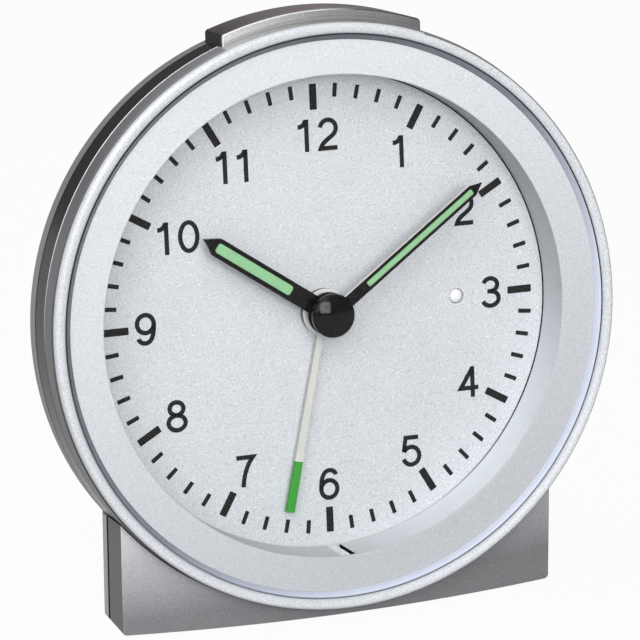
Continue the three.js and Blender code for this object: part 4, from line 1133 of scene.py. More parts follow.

# %% [markdown]
# The glossy band
#
# The middle band carries the drum's inner disc, on which dial and movement are mounted, so its
# outline runs in almost to the axis. The sensor looks through a hole in that disc. The band's front
# edge is a narrow chamfer in a grey of its own, with painted shade below and a painted highlight
# above.

# %% Turn the glossy band
CHAMFER_Z = 3.93
band_outline = rounded(
    [
        (3.2, -2.3),
        (47.7, -2.3),
        (47.7, -0.9),
        (DRUM_R, -0.9),
        (DRUM_R, CHAMFER_Z),
        (49.86, 4.1),
        (48.5, 4.1),
        (48.5, 0),
        (42.8, 0),
        (42.8, -1.1),
        (3.2, -1.1),
    ],
    0.05,
)
sensor_way = drilled("sensor_way", SENSOR_X, 0, 1.35, -4, 1)
band = cut(turned("gloss_band", band_outline), snooze_slot(), flat_floor(), sensor_way)
stands_for(band, "middle_band", band_gloss, chamfer_painted_light_shade)


# The chamfer's grey carries painted shade below and a painted highlight above.
def front_chamfer(at, way):
    at_edge = at.z > CHAMFER_Z - 0.03 and math.hypot(at.x, at.y) > DRUM_R - 0.2
    return int(at_edge and 0.2 < way.z < 0.95)


finish_faces(band, ON_DIAL, front_chamfer)

# %% [markdown]
# The domed back
#
# The back is a straight rim, a step and a long dome that ends in a flat. It carries everything
# that is set from behind: the alarm knob in its round recess, three buttons, a switch, the sound
# holes, the screws and the battery bay with its door. First come its paint and its sizes.

# %% Paint and sizes of the back
rear_grey = paint("rear_grey", level(108, DUSK), level(124, DUSK), 0.4, speck=0.16, shine=0.2)
DRUM_BACK = -26
INNER_BACK = -24
RIM_BACK = -4.3
BATTERY_Y = -19.9
BATTERY_Z = -16.15
BAY_HALF_X = 29.3
BAY_HALF = 7.6
KNOB_X = 11.2
KNOB_FLOOR = -23.6
BUTTON_Y = 17
BUTTON_XS = (-16, -7, 2)
SWITCH = (-12, 2)
SWITCH_THROW = 3.2
BUZZER_Y = 29
SCREW_PLACES = [(-28, 22), (28, 22), (0, -34)]
print("depth behind the dial:", -DRUM_BACK, "mm")

# %% [markdown]
# Outline of the back
#
# The outline runs along the outside and back along the inside, so that it closes to a shell. The
# foremost part of the rim is a narrow lip that takes the black plastic of the band before it. The
# outside alone, as a solid, serves later to keep other pieces within the drum.

# %% Outline of the back
LIP = 0.5
dome_curve = bezier((42.5, -22.3), (41.83, -24.7), (41.6, -25.1), (38.7, -26), 10)
back_outline = [
    (49.9, REAR_SEAM - 0.05),
    (DRUM_R, REAR_SEAM - 0.15),
    (DRUM_R, REAR_SEAM - LIP),
    (DRUM_R, RIM_BACK),
    (49, RIM_BACK - 0.3),
    *dome_curve,
    (0, DRUM_BACK),
    (0, INNER_BACK),
    (37.1, INNER_BACK),
    (40.5, -21.9),
    (47, -5.3),
    (48, RIM_BACK - 0.3),
    (48, REAR_SEAM - 0.05),
]


def drum_solid(name, grow=0.0):
    """The drum's outside as one solid, to keep a piece within it."""
    outline = [
        (0, 12),
        (DRUM_R + grow, 12),
        (DRUM_R + grow, RIM_BACK - grow),
        (49 + grow, RIM_BACK - 0.3 - grow),
        *[(r + grow, z - grow) for r, z in dome_curve],
        (0, DRUM_BACK - grow),
    ]
    return turned(name, outline)


# %% [markdown]
# The battery bay's slot
#
# The door slides in along undercut edges, so slot and door share one section, drawn across the
# slot and run sideways. A clearance makes the slot's section from the door's.


# %% The section of slot and door
def door_outline(clearance):
    """The sliding door's section as (y, z), with undercut edges."""
    half = 9.5 + clearance
    top = DRUM_BACK + 1.8 + clearance
    low = DRUM_BACK - (1 if clearance else 0)
    return [
        (BATTERY_Y - half + 1, low),
        (BATTERY_Y - half + 1, DRUM_BACK + 0.01),
        (BATTERY_Y - half, top),
        (BATTERY_Y + half, top),
        (BATTERY_Y + half - 1, DRUM_BACK + 0.01),
        (BATTERY_Y + half - 1, low),
    ]


# A (y, z) outline run along x, where prism runs an (x, y) outline along z
ALONG_X = ON_DIAL @ Matrix(((0, 0, 1, 0), (1, 0, 0, 0), (0, 1, 0, 0), (0, 0, 0, 1)))


def door_run(name, clearance, x0, x1):
    return prism(name, door_outline(clearance), x0, x1, ALONG_X)


# %% [markdown]
# Building the back
#
# The back is turned as a shell, the battery tub, the knob's thicker floor and the screw bosses are
# joined to it, and then all openings are cut in one go.

# %% Turn the back and add its inner forms
back = turned("domed_back", back_outline)
tub_half = BAY_HALF + 1.2
tub_outline = box_outline(-BAY_HALF_X - 1.2, 50, BATTERY_Y - tub_half, BATTERY_Y + tub_half)
tub = prism("battery_tub", tub_outline, DRUM_BACK, BATTERY_Z + tub_half)
worked(tub, "INTERSECT", [drum_solid("tub_limit")])
knob_floor = drilled("knob_floor", KNOB_X, 0, 10.4, INNER_BACK - 1, INNER_BACK + 2)
bosses = [drilled("screw_boss", x, y, 3.4, INNER_BACK - 1, -8.3) for x, y in SCREW_PLACES]
joined(back, tub, knob_floor, *bosses)
print("faces before the openings:", len(back.data.polygons))

# %% [markdown]
# Openings of the back
#
# Every opening is a tool of its own, listed once. In front of the buzzer there are seven sound
# holes, six of them in a ring round the middle one.

# %% Cut the openings
bay_outline = box_outline(-BAY_HALF_X, BAY_HALF_X, BATTERY_Y - BAY_HALF, BATTERY_Y + BAY_HALF)
switch_outline = box_outline(
    SWITCH[0] - 2.3 - SWITCH_THROW, SWITCH[0] + 2.3, SWITCH[1] - 1.8, SWITCH[1] + 1.8
)
openings = [
    prism("bay", bay_outline, DRUM_BACK - 1, BATTERY_Z + BAY_HALF),
    door_run("door_slot", GAP, -BAY_HALF_X - 1.1, 80),
    drilled("knob_recess", KNOB_X, 0, 8.4, DRUM_BACK - 1, KNOB_FLOOR, 96),
    drilled("arbor_hole", KNOB_X, 0, 2.4, DRUM_BACK, INNER_BACK + 4),
    prism("switch_slot", switch_outline, DRUM_BACK - 1, INNER_BACK + 1),
    snooze_slot(),
    flat_floor(),
]
for x, y in SCREW_PLACES:
    openings.append(drilled("counterbore", x, y, 2.4, DRUM_BACK - 1, INNER_BACK + 0.2))
    openings.append(drilled("screw_way", x, y, 1.2, DRUM_BACK - 1, 0, 24))
for x in BUTTON_XS:
    openings.append(drilled("button_hole", x, BUTTON_Y, 2.5, DRUM_BACK - 1, INNER_BACK + 1))
for x, y in [(0, 0)] + circle_outline(0, 0, 3.6, 6):
    openings.append(drilled("sound_hole", x, BUZZER_Y + y, 0.9, DRUM_BACK - 1, INNER_BACK + 1, 24))
cut(back, *openings)
stands_for(back, "rear_cover", rear_grey, band_gloss)


def front_lip(at, way):
    return int(at.z > REAR_SEAM - LIP and math.hypot(at.x, at.y) > DRUM_R - 0.3)


finish_faces(back, ON_DIAL, front_lip)

# %% [markdown]
# Battery door
#
# The door slides out sideways along undercut edges. Three grooves give the thumb a hold.

# %% Make the battery door
door = door_run("sliding_door", 0, -BAY_HALF_X - 0.8, 50)
worked(door, "INTERSECT", [drum_solid("door_limit")])
groove_y = (BATTERY_Y - 5, BATTERY_Y + 5)
grooves = [
    prism("groove", box_outline(x, x + 1.2, *groove_y), DRUM_BACK - 1, DRUM_BACK + 0.6)
    for x in (12, 15, 18)
]
cut(door, *grooves)
stands_for(door, "battery_door", rear_grey)

# %% [markdown]
# Snooze bar
#
# The bar follows the drum's curve on top and has upright ends. Its body is dark and smooth. A
# silver plate is set on its front, with a hair-thin dark groove between the two. The front view of
# the bar is one outline, and rings of it at growing heights, drawn in at the rims and in the
# groove, make the whole outside in one skin.


# %% The bar's outline and its rings
def snooze_outline(top_r, bottom, half, corner):
    """Front view of the bar: arc on top with a small corner at each upright end."""
    steps = 40
    angle = math.asin((half - corner) / top_r)
    corner_y = top_r * math.cos(angle) - corner
    right = [(half, bottom), *arc(half - corner, corner_y, corner, corner, 0, 70, 5)]
    turns = [angle * (1 - 2 * k / steps) for k in range(steps + 1)]
    top = [(top_r * math.sin(a), top_r * math.cos(a)) for a in turns]
    left = [(-x, y) for x, y in reversed(right)]
    return right + top + left


SNOOZE_TOP = DRUM_R + 1.85
SNOOZE_BOTTOM = 45.6
PLATE_BACK = SNOOZE_FRONT - 0.55
EDGE = 0.28
back_rim = [
    (SNOOZE_BACK + EDGE * (1 - math.cos(a)), EDGE * (1 - math.sin(a)))
    for a in (math.pi / 8 * k for k in range(5))
]
groove = [(PLATE_BACK - 0.22, 0), (PLATE_BACK - 0.16, 0.08), (PLATE_BACK - 0.14, 0.45)]
groove += [(PLATE_BACK, 0.45)]
plate_rim = [(PLATE_BACK + 0.01, 0.13), (SNOOZE_FRONT - 0.12, 0.13), (SNOOZE_FRONT, 0.27)]
depths = back_rim + groove + plate_rim
print("rings of the bar:", len(depths))

# %% [markdown]
# A skin over rings
#
# The bar, and later the alarm hand, are bodies through a row of rings with the same count of
# points. Quads close each pair of neighbouring rings, and one face closes either end.


# %% Skin a body over its rings
def skinned(name, rings, place):
    """A closed body through rings of (x, y, z) points."""
    bm = bmesh.new()
    rows = [[bm.verts.new(point) for point in ring] for ring in rings]
    for low, high in zip(rows, rows[1:]):
        for k in range(len(low)):
            j = (k + 1) % len(low)
            bm.faces.new((low[k], low[j], high[j], high[k]))
    bm.faces.new(rows[0])
    bm.faces.new(rows[-1])
    return finish_mesh(bm, name, place)


# %% [markdown]
# Paints of the bar
#
# The bar's body is dark brown plastic with painted light and shade along it, darkest towards its
# left end. The plate's silver, its smoother lower edge and its narrow bevel carry painted light and
# shade: brighter on the left, nearest to the light, and darker on the right. The bar's upright ends
# lie in shadow, painted as a darker brown.

# %% Five paints for the bar, with painted light and shade
bar_dark_painted_shading = paint(
    "bar_dark_painted_shading",
    level(114, WARM),
    level(124, WARM),
    0.45,
    shine=0.08,
    drift=(ACROSS_BAR, 0.5, [(0.0, 146), (0.25, 222), (0.5, 252), (1.0, 215)]),
)
snooze_silver_painted_light = paint(
    "snooze_silver_painted_light",
    level(200),
    level(254),
    0.42,
    speck=0.16,
    shine=0.3,
    drift=(ACROSS_BAR, 0.5, [(0.0, 214), (0.5, 148), (0.85, 126), (1.0, 106)]),
)
snooze_edge_painted_light = paint(
    "snooze_edge_painted_light",
    level(206),
    level(220),
    0.42,
    shine=0.3,
    drift=(ACROSS_BAR, 0.5, [(0.0, 196), (0.5, 164), (1.0, 128)]),
)
bar_end_painted_shade = paint("bar_end_painted_shade", level(42, WARM), level(48, WARM), 0.5, shine=0.02)
plate_bevel_painted_light_shade = paint(
    "plate_bevel_painted_light_shade",
    level(240),
    level(250),
    0.3,
    drift=(ACROSS_BAR, 0.5, [(0.0, 226), (0.5, 222), (0.68, 66), (1.0, 56)]),
)
print("finishes so far:", len(bpy.data.materials))

# %% [markdown]
# Making the bar
#
# The rings are skinned, the inside is hollowed for springs and switch, and a stem that presses the
# switch is joined on. Low on the silver plate runs a shallow line, below which it is smoother.

# %% Build the snooze bar
bar_rings = []
for z, inset in depths:
    ring = snooze_outline(SNOOZE_TOP - inset, SNOOZE_BOTTOM, SNOOZE_HALF - inset, 0.7 - inset)
    bar_rings.append([(x, y, z) for x, y in ring])
bar = skinned("snooze_bar_cap", bar_rings, ON_DIAL)
hollow_outline = snooze_outline(SNOOZE_TOP - 1.3, 43, SNOOZE_HALF - 1.3, 0.3)
bar_hollow = prism("bar_hollow", hollow_outline, SNOOZE_BACK + 1.3, SNOOZE_FRONT - 1.3)
LINE_R = 50.55
line_outline = arc(0, 0, LINE_R, LINE_R, 68, 112, 40) + arc(0, 0, 50.44, 50.44, 112, 68, 40)
plate_line = prism("plate_line", line_outline, SNOOZE_FRONT - 0.1, SNOOZE_FRONT + 0.5)
cut(bar, bar_hollow, plate_line)
joined(bar, prism("bar_stem", box_outline(-1.6, 1.6, 46.4, 51.2), 1.6, 4.4))
stands_for(bar, "snooze_bar", bar_dark_painted_shading, snooze_silver_painted_light, snooze_edge_painted_light, bar_end_painted_shade, plate_bevel_painted_light_shade)

# %% [markdown]
# Where the bar changes paint
#
# The finish follows the form: the body and its upright ends behind the groove, the plate's bevel,
# and the plate above and below its line. A face is above the line when one of its corners is.

# %% Finish the bar's faces
to_dial = ON_DIAL.inverted()
turn_to_dial = to_dial.to_3x3().normalized()
# Plate, lower edge and bevel take painted light and shade; the upright ends take painted shade.
for face in bar.data.polygons:
    corners = [to_dial @ bar.data.vertices[k].co for k in face.vertices]
    above_line = max(math.hypot(c.x, c.y) for c in corners) > LINE_R - 0.02
    on_plate = sum(c.z for c in corners) / len(corners) > PLATE_BACK + 0.005
    on_bevel = 0.3 < (turn_to_dial @ face.normal).z < 0.95
    if on_plate:
        face.material_index = 4 if on_bevel else 1 if above_line else 2
    else:
        face.material_index = 3 if abs(face.normal.x) > 0.7 else 0
print("faces of the bar:", len(bar.data.polygons))

# %% [markdown]
# Hour and minute hand
#
# Both are pressed metal under black lacquer: a straight blade with a pointed tip, a window with a
# green luminous strip, and a round boss. The strip's corners are round. Where the hands stand, in
# degrees past twelve, is read from the photograph. First come heights, places and outlines.

# %% Heights, places and outlines of the hands
HAND_T = 0.7
ALARM_Z = 1.0
HOUR_Z = 3.2
MINUTE_Z = 5.1
CLOCKWISE = {"minute": 54.0, "hour": 304.5, "alarm": 192.7}


def hand_place(which):
    """The dial's frame turned so that y runs along the hand."""
    return ON_DIAL @ Matrix.Rotation(-math.radians(CLOCKWISE[which]), 4, "Z")


def blade_outline(length, width, tip):
    half = width / 2
    return [(-half, -1), (half, -1), (half, length - tip), (0, length), (-half, length - tip)]


def strip_outline(start, end, width, grow=0.0):
    half = width / 2 + grow
    corners = box_outline(-half, half, start - grow, end + grow)
    return [tuple(p) for p in rounded(corners, 0.3 * width + grow, 6)]


print("the minute hand lies", round(MINUTE_Z - HOUR_Z - HAND_T, 2), "mm above the hour hand")

# %% [markdown]
# Making a hand
#
# One function makes either hand from its sizes. A thin bevel along each blade keeps the edges from
# looking cut out. On the minute hand the left side, which faces the lamp, carries a painted
# highlight.


# %% Blades, bosses and strips
def hand(which, length, width, tip, z, strip, bore, boss_r, edge=0):
    place = hand_place(which)
    top = z + HAND_T
    blade = prism(f"{which}_hand_blade", blade_outline(length, width, tip), z, top, place)
    joined(blade, prism("boss", circle_outline(0, 0, boss_r, 64), z, top, place))
    window = prism("window", strip_outline(*strip, 0.1), top - 0.35, top + 1, place)
    cut(blade, window, prism("bore", circle_outline(0, 0, bore), z - 1, top + 1, place))
    stands_for(softened(blade, 0.12), f"{which}_hand", black_lacquer, painted_edge_highlight)
    # With edge set, the blade's left side wall and bevel take the painted highlight.
    finish_faces(blade, place, lambda at, way: edge * int(way.x < -0.6 and at.y > boss_r))
    lume = prism(f"{which}_hand_strip", strip_outline(*strip), top - 0.3, top + 0.02, place)
    stands_for(lume, f"{which}_lume", lume_green)


hand(
    "hour", length=26.2, width=3.2, tip=2.6, z=HOUR_Z, strip=(8, 23.5, 1.7), bore=1.7, boss_r=3.7
)
hand(
    "minute",
    length=34.4,
    width=2.1,
    tip=2.2,
    z=MINUTE_Z,
    strip=(8, 32.1, 0.9),
    bore=0.76,
    boss_r=3.7,
    edge=1,
)

# %% [markdown]
# Alarm hand
#
# The alarm hand is a plain pointer that widens outwards. Its blade is cream with a green tip, its
# boss is white with a dark rim. They are changes of paint on one piece, so the faces beyond a line
# or a radius simply take another finish.

# %% Paints of the alarm hand
alarm_green = paint(
    "alarm_green", level(250, (0.22, 0.59, 0.2)), level(250, (0.29, 0.65, 0.26)), 0.5, shine=0.2
)
alarm_cream = paint("alarm_cream", level(202, (1, 1, 0.98)), level(216, (1, 1, 0.98)), 0.45)
alarm_white = paint("alarm_white", level(226), level(240), 0.35)

# %% [markdown]
# Shape of the alarm hand
#
# Three stations along the blade give its taper and the line where the green begins. The boss is a
# hair higher than the blade, so that it stays a disc of its own under the hour hand.

# %% Build the alarm hand
GREEN_FROM = 26.0
ALARM_BOSS_R = 4
alarm_place = hand_place("alarm")
alarm_top = ALARM_Z + HAND_T
stations = []
for y, half in [(0.0, 0.5), (GREEN_FROM, 0.724), (34.9, 0.8)]:
    corners = [(-half, ALARM_Z), (half, ALARM_Z), (half, alarm_top), (-half, alarm_top)]
    stations.append([(x, y, z) for x, z in corners])
pointer = softened(skinned("alarm_pointer", stations, alarm_place), 0.1, 2)
boss_outline = circle_outline(0, 0, ALARM_BOSS_R, 64)
joined(pointer, prism("alarm_boss", boss_outline, ALARM_Z - 0.1, alarm_top + 0.05, alarm_place))
cut(pointer, prism("alarm_bore", circle_outline(0, 0, 2.65), 0, 3, alarm_place))
stands_for(pointer, "alarm_hand", alarm_cream, alarm_green, alarm_white, black_lacquer)


def alarm_finish(at, way):
    reach = math.hypot(at.x, at.y)
    if reach < ALARM_BOSS_R + 0.02:
        on_rim = reach > ALARM_BOSS_R - 0.1 and abs(way.z) < 0.5
        return 3 if on_rim else 2
    return 1 if at.y > GREEN_FROM + 0.1 else 0


finish_faces(pointer, alarm_place, alarm_finish)

# %% [markdown]
# Cap on the middle
#
# A glossy black button covers the end of the arbor. Its face falls off gently towards the rim, and
# that fall-off catches the lamp as a crescent at the upper left.

# %% Turn the cap
DOME_R = 9.6
dome_fall = [(r, 7 - DOME_R + math.sqrt(DOME_R**2 - r * r)) for r in (3.3, 2.9, 2.4, 1.8, 1.2, 0.6)]
cap_outline = [
    (0, 5.85),
    (3.75, 5.85),
    (3.75, 6.0),
    (3.71, 6.16),
    (3.58, 6.31),
    *dome_fall,
    (0, 7),
]
cap = turned("middle_cap", cap_outline, sides=96)
stands_for(cap, "hub_cap", cap_lacquer)

# %% [markdown]
# Outlines of the stand
#
# The stand's front is bowed in plan and has slightly rounded lower corners seen from the front.
# Where a form is the overlap of two simple outlines, two prisms kept in common are the shortest
# way to it.

# %% Front view and plan of the stand
STAND_HALF = 39
STAND_FRONT = 11.8
STAND_SIDE = 8.2
STAND_SEAM = -0.8
STAND_BACK = 2.2
STAND_FLOOR = 0.2
STAND_CORNER = 0.8
FLAT_TOP = 1.4


def front_view(inset):
    """The stand seen from the front: straight sides, rounded lower corners."""
    top = 60
    half = STAND_HALF - inset
    low = STAND_FLOOR + inset
    r = STAND_CORNER
    right = arc(half - r, low + r, r, r, -90, 0, 8)
    return [(-x, z) for x, z in reversed(right)] + right + [(half, top), (-half, top)]


def bowed_plan(inset, back_y):
    """The stand seen from above: a bowed front, straight sides."""
    half = STAND_HALF - inset
    rise = STAND_FRONT - STAND_SIDE
    radius = (STAND_HALF**2 + rise**2) / (2 * rise)
    middle_y = radius - STAND_FRONT
    bow_r = radius - inset
    reach = math.degrees(math.asin(half / bow_r))
    bow = arc(0, middle_y, bow_r, bow_r, -90 - reach, -90 + reach, 48)
    return [*bow, (half, back_y), (-half, back_y)]


# %% [markdown]
# Tools of the stand
#
# The front view is run from front to back, and the drum's outside, a little grown, is the tool
# that cuts its seat. It stays above the stand's floor plate.

# %% Front view as a prism, and the drum's seat
# An (x, z) outline run along y, where prism runs an (x, y) outline along z
ALONG_Y = ON_STAND @ Matrix(((1, 0, 0, 0), (0, 0, -1, 0), (0, 1, 0, 0), (0, 0, 0, 1)))


def seen_from_front(name, inset, y0, y1):
    return prism(name, front_view(inset), -y1, -y0, ALONG_Y)


def saddle(grow):
    """The drum's outside grown by a gap, kept above the floor plate."""
    body = drum_solid("saddle", grow)
    above = prism("above_floor", box_outline(-60, 60, -60, 60), FLAT_TOP, 90, ON_STAND)
    return worked(body, "INTERSECT", [above])


# %% [markdown]
# Paints of the stand
#
# The flakes are coarse on the stand's front only, which carries painted light that makes it lighter
# upwards and to the left: the sides are smooth and take a darker grey as painted shade, with a
# sharp line where the two meet. The rear half is a grey of its own.

# %% Three greys for the stand
stand_grey_painted_light = paint(
    "stand_grey_painted_light",
    level(200, DUSK),
    level(254, DUSK),
    0.42,
    speck=0.16,
    shine=0.3,
    drift=((-0.002, 0, 0.045), 0, [(0.2, 136), (0.47, 176), (0.65, 194), (0.98, 240)]),
)
side_grey_painted_shade = paint("side_grey_painted_shade", level(86, DUSK), level(94, DUSK), 0.45, shine=0.15)
stand_rear_grey = paint("stand_rear_grey", level(142, DUSK), level(158, DUSK), 0.45, speck=0.16)
print("finishes so far:", len(bpy.data.materials))

# %% [markdown]
# Front of the stand
#
# The block gets a crisp small bevel, the drum is cut out of it with a narrow gap, and it is
# hollowed from below.

# %% Build the front of the stand
SADDLE_GAP = 0.2
stand_front = prism("stand_front", bowed_plan(0, STAND_SEAM - 0.25), -5, 25, ON_STAND)
worked(stand_front, "INTERSECT", [seen_from_front("front_limit", 0, -30, 30)])
softened(stand_front, 0.16, 2)
cut(stand_front, saddle(SADDLE_GAP))
hollow = prism("stand_hollow", bowed_plan(1.8, 5), -5, 40, ON_STAND)
worked(hollow, "INTERSECT", [seen_from_front("hollow_limit", 1.8, -30, 30)])
cut(hollow, drum_solid("hollow_roof", GAP + 1.8))
PAD_R = 3
FRONT_PADS = [(-31, -4.5), (31, -4.5)]
REAR_PADS = [(-20, 19), (20, 19)]


def pad_recess(x, y):
    return prism("pad_recess", circle_outline(x, y, PAD_R + GAP), -1, STAND_FLOOR + 0.3, ON_STAND)


cut(stand_front, hollow, *[pad_recess(x, y) for x, y in FRONT_PADS])
stands_for(stand_front, "base_front", stand_grey_painted_light, side_grey_painted_shade)
# The front takes the grey with painted light, the sides the darker grey of painted shade.
finish_faces(stand_front, ON_STAND, lambda at, way: int(way.y > -0.8))

# %% [markdown]
# Rear of the stand
#
# Behind the seam a thin slab closes the front, and a low tongue with rounded corners runs back
# under the dome, so that the clock can't tip over. Two screws hold slab and front together, two
# more come up through the tongue into the drum.

# %% Build the rear of the stand
BASE_SCREW = (33.4, 6.2)
FOOT_SCREW = (14, 14)
stand_back = seen_from_front("stand_back", 0, STAND_SEAM + 0.25, STAND_BACK)
cut(stand_back, prism("slab_top", box_outline(-60, 60, -60, 60), 30, 90, ON_STAND))
softened(stand_back, 0.2, 2)
right_corner, left_corner = arc(19, 15, 9, 9, 0, 90, 14), arc(-19, 15, 9, 9, 90, 180, 14)
tongue_outline = [(28, 1.2)] + right_corner + left_corner + [(-28, 1.2)]
joined(stand_back, prism("tongue", tongue_outline, STAND_FLOOR, 9, ON_STAND))
back_tools = [saddle(SADDLE_GAP)] + [pad_recess(x, y) for x, y in REAR_PADS]
for side in (-1, 1):
    base_x, foot_x = side * BASE_SCREW[0], side * FOOT_SCREW[0]
    for r, y0, y1 in ((1.1, -5, 5), (2.3, 0.5, 5)):
        outline = circle_outline(base_x, BASE_SCREW[1], r, 32)
        back_tools.append(prism("base_screw_way", outline, -y1, -y0, ALONG_Y))
    for r, top in ((1.1, 12), (2.3, STAND_FLOOR + 1.9)):
        outline = circle_outline(foot_x, FOOT_SCREW[1], r, 32)
        back_tools.append(prism("foot_screw_way", outline, -1, top, ON_STAND))
cut(stand_back, *back_tools)
stands_for(stand_back, "base_rear", stand_rear_grey, painted_seam_shade)
# The slab's faces at the seam take the near black painted shade.
finish_faces(stand_back, ON_STAND, lambda at, way: int(at.y < STAND_SEAM + 0.4))

# %% [markdown]
# Rubber pads
#
# Four soft pads keep the clock from sliding. Each is a turned disc with a rounded rim, half sunk
# in its recess.

# %% Turn the pads
pad_nodes = ["foot_front_left", "foot_front_right", "foot_rear_left", "foot_rear_right"]
pad_height = STAND_FLOOR + 0.3
pad_outline = rounded([(0, 0), (PAD_R, 0), (PAD_R, pad_height), (0, pad_height)], 0.15)
for node, spot in zip(pad_nodes, FRONT_PADS + REAR_PADS):
    pad = turned(node + "_pad", pad_outline, ON_STAND, 64, spot)
    stands_for(pad, node, rubber)

# %% [markdown]
# Alarm knob
#
# The knob's rim has eighteen shallow flutes, and a finger bar crosses its hollow face. The flutes
# are one rule, so the radius simply follows a cosine round the rim.

# %% Build the knob
FLUTES = 18
KNOB_BACK = -27.6
flute_points = []
for k in range(FLUTES * 10):
    a = 2 * math.pi * k / (FLUTES * 10)
    r = 7.8 + 0.2 * math.cos(FLUTES * a)
    flute_points.append((KNOB_X + r * math.cos(a), r * math.sin(a)))
knob = prism("fluted_knob", flute_points, KNOB_BACK, KNOB_FLOOR - GAP, sharp=50)
softened(knob, 0.3, 3)
cut(knob, drilled("knob_hollow", KNOB_X, 0, 6, KNOB_BACK - 1, KNOB_BACK + 1.2, 72))
finger_outline = box_outline(KNOB_X - 0.8, KNOB_X + 0.8, -6.5, 6.5)
finger = prism("finger_bar", finger_outline, KNOB_BACK + 0.1, KNOB_BACK + 2)
hub = drilled("knob_hub", KNOB_X, 0, 2, KNOB_BACK + 0.2, KNOB_FLOOR + 1.4)
joined(knob, softened(finger, 0.25, 3), hub)
cut(knob, drilled("knob_bore", KNOB_X, 0, 1.1, KNOB_BACK + 0.9, 0, 24))
stands_for(knob, "alarm_knob", grey_moulded)

# %% [markdown]
# Buttons
#
# Three round buttons stand a little proud of the back. Each has a collar that keeps it in and a
# stem that presses a switch on the board, all in one turned outline.

# %% Turn the buttons
button_outline = rounded(
    [
        (0, -26.5),
        (2.2, -26.5),
        (2.2, -23.7),
        (3, -23.7),
        (3, -22.9),
        (1, -22.9),
        (1, -21.9),
        (0, -21.9),
    ],
    0.2,
)
for node, x in zip(("set_button", "receive_button", "reset_button"), BUTTON_XS):
    button = turned(node + "_cap", button_outline, ON_DIAL, 64, (x, BUTTON_Y))
    stands_for(button, node, grey_moulded)

# %% [markdown]
# Alarm switch
#
# The slider has three ribs for the fingernail, a wide skid that slides on the inside of the back,
# and a lever that reaches into the switch on the board.


# %% Build the switch
def about_switch(name, half_x, half_y, z0, z1, shift=0.0):
    x, y = SWITCH[0] + shift, SWITCH[1]
    return prism(name, box_outline(x - half_x, x + half_x, y - half_y, y + half_y), z0, z1)


grip = softened(about_switch("switch_slider", 2, 1.5, DRUM_BACK - 1, INNER_BACK + 0.4), 0.2)
ribs = [about_switch("rib", 0.3, 1.4, DRUM_BACK - 1.4, DRUM_BACK - 0.5, s) for s in (-1.2, 0, 1.2)]
skid = about_switch("skid", 3.4, 2.6, INNER_BACK + GAP, INNER_BACK + GAP + 0.8)
lever = about_switch("lever", 0.7, 0.7, INNER_BACK + 1, -20.9)
joined(grip, skid, lever, *ribs)
stands_for(grip, "alarm_switch", grey_moulded)

# %% [markdown]
# A tree that makes a screw
#
# Seven screws hold the clock together. One Geometry Nodes tree makes a screw from its own sizes: a
# shank, a head and a cross recess cut into it. Each screw is run into its own mesh, because each is
# a piece of its own. The head comes first.

# %% Head and shank of the screw
screw_inputs = [
    ("Head Radius", "NodeSocketFloat"),
    ("Head Height", "NodeSocketFloat"),
    ("Shank Radius", "NodeSocketFloat"),
    ("Shank Length", "NodeSocketFloat"),
    ("Metal", "NodeSocketMaterial"),
]
screw_tree, given, result = geometry_tree("cross_head_screw", screw_inputs)
head_height, head_radius = given.outputs["Head Height"], given.outputs["Head Radius"]
shank_length = given.outputs["Shank Length"]


def rod_nodes(radius, depth, z_middle, sides):
    """A cylinder of the screw tree, moved along its axis."""
    body = add_node(
        screw_tree, "GeometryNodeMeshCylinder", Vertices=sides, Radius=radius, Depth=depth
    )
    shift = add_node(screw_tree, "ShaderNodeCombineXYZ", Z=z_middle)
    moved = add_node(
        screw_tree,
        "GeometryNodeTransform",
        Geometry=body.outputs["Mesh"],
        Translation=shift.outputs[0],
    )
    return moved.outputs["Geometry"]


head_middle = math_node(screw_tree, "MULTIPLY", head_height, -0.5)
head = rod_nodes(head_radius, head_height, head_middle, 40)
half_shank = math_node(screw_tree, "MULTIPLY", shank_length, -0.5)
shank_middle = math_node(screw_tree, "SUBTRACT", half_shank, head_height)
overlap = 0.1
long_shank = math_node(screw_tree, "ADD", shank_length, overlap)
shank_place = math_node(screw_tree, "ADD", shank_middle, overlap / 2)
shank = rod_nodes(given.outputs["Shank Radius"], long_shank, shank_place, 24)

# %% [markdown]
# The cross recess
#
# Two crossed bars are cut from the head, then head and shank are joined, so that the screw is one
# closed body.

# %% Cut the recess and close the tree
recess_long = math_node(screw_tree, "MULTIPLY", head_radius, 1.2)
recess_wide = math_node(screw_tree, "MULTIPLY", head_radius, 0.28)
crossed = screw_tree.nodes.new("GeometryNodeMeshBoolean")
crossed.operation = "DIFFERENCE"
screw_tree.links.new(head, crossed.inputs["Mesh 1"])
for x, y in ((recess_long, recess_wide), (recess_wide, recess_long)):
    size = add_node(screw_tree, "ShaderNodeCombineXYZ", X=x, Y=y, Z=head_height)
    bar_node = add_node(screw_tree, "GeometryNodeMeshCube", Size=size.outputs[0])
    screw_tree.links.new(bar_node.outputs["Mesh"], crossed.inputs["Mesh 2"])
whole = screw_tree.nodes.new("GeometryNodeMeshBoolean")
whole.operation = "UNION"
screw_tree.links.new(crossed.outputs["Mesh"], whole.inputs["Mesh 2"])
screw_tree.links.new(shank, whole.inputs["Mesh 2"])
real = add_node(screw_tree, "GeometryNodeRealizeInstances", Geometry=whole.outputs["Mesh"])
metal = add_node(
    screw_tree,
    "GeometryNodeSetMaterial",
    Geometry=real.outputs["Geometry"],
    Material=given.outputs["Metal"],
)
screw_tree.links.new(metal.outputs["Geometry"], result.inputs["Geometry"])
print("nodes in the screw tree:", len(screw_tree.nodes))

# %% [markdown]
# Driving the screws
#
# Three long screws hold the drum's back, two short ones the halves of the stand, and two the drum
# on its stand. Each is turned so that its head faces the side that it is driven from.


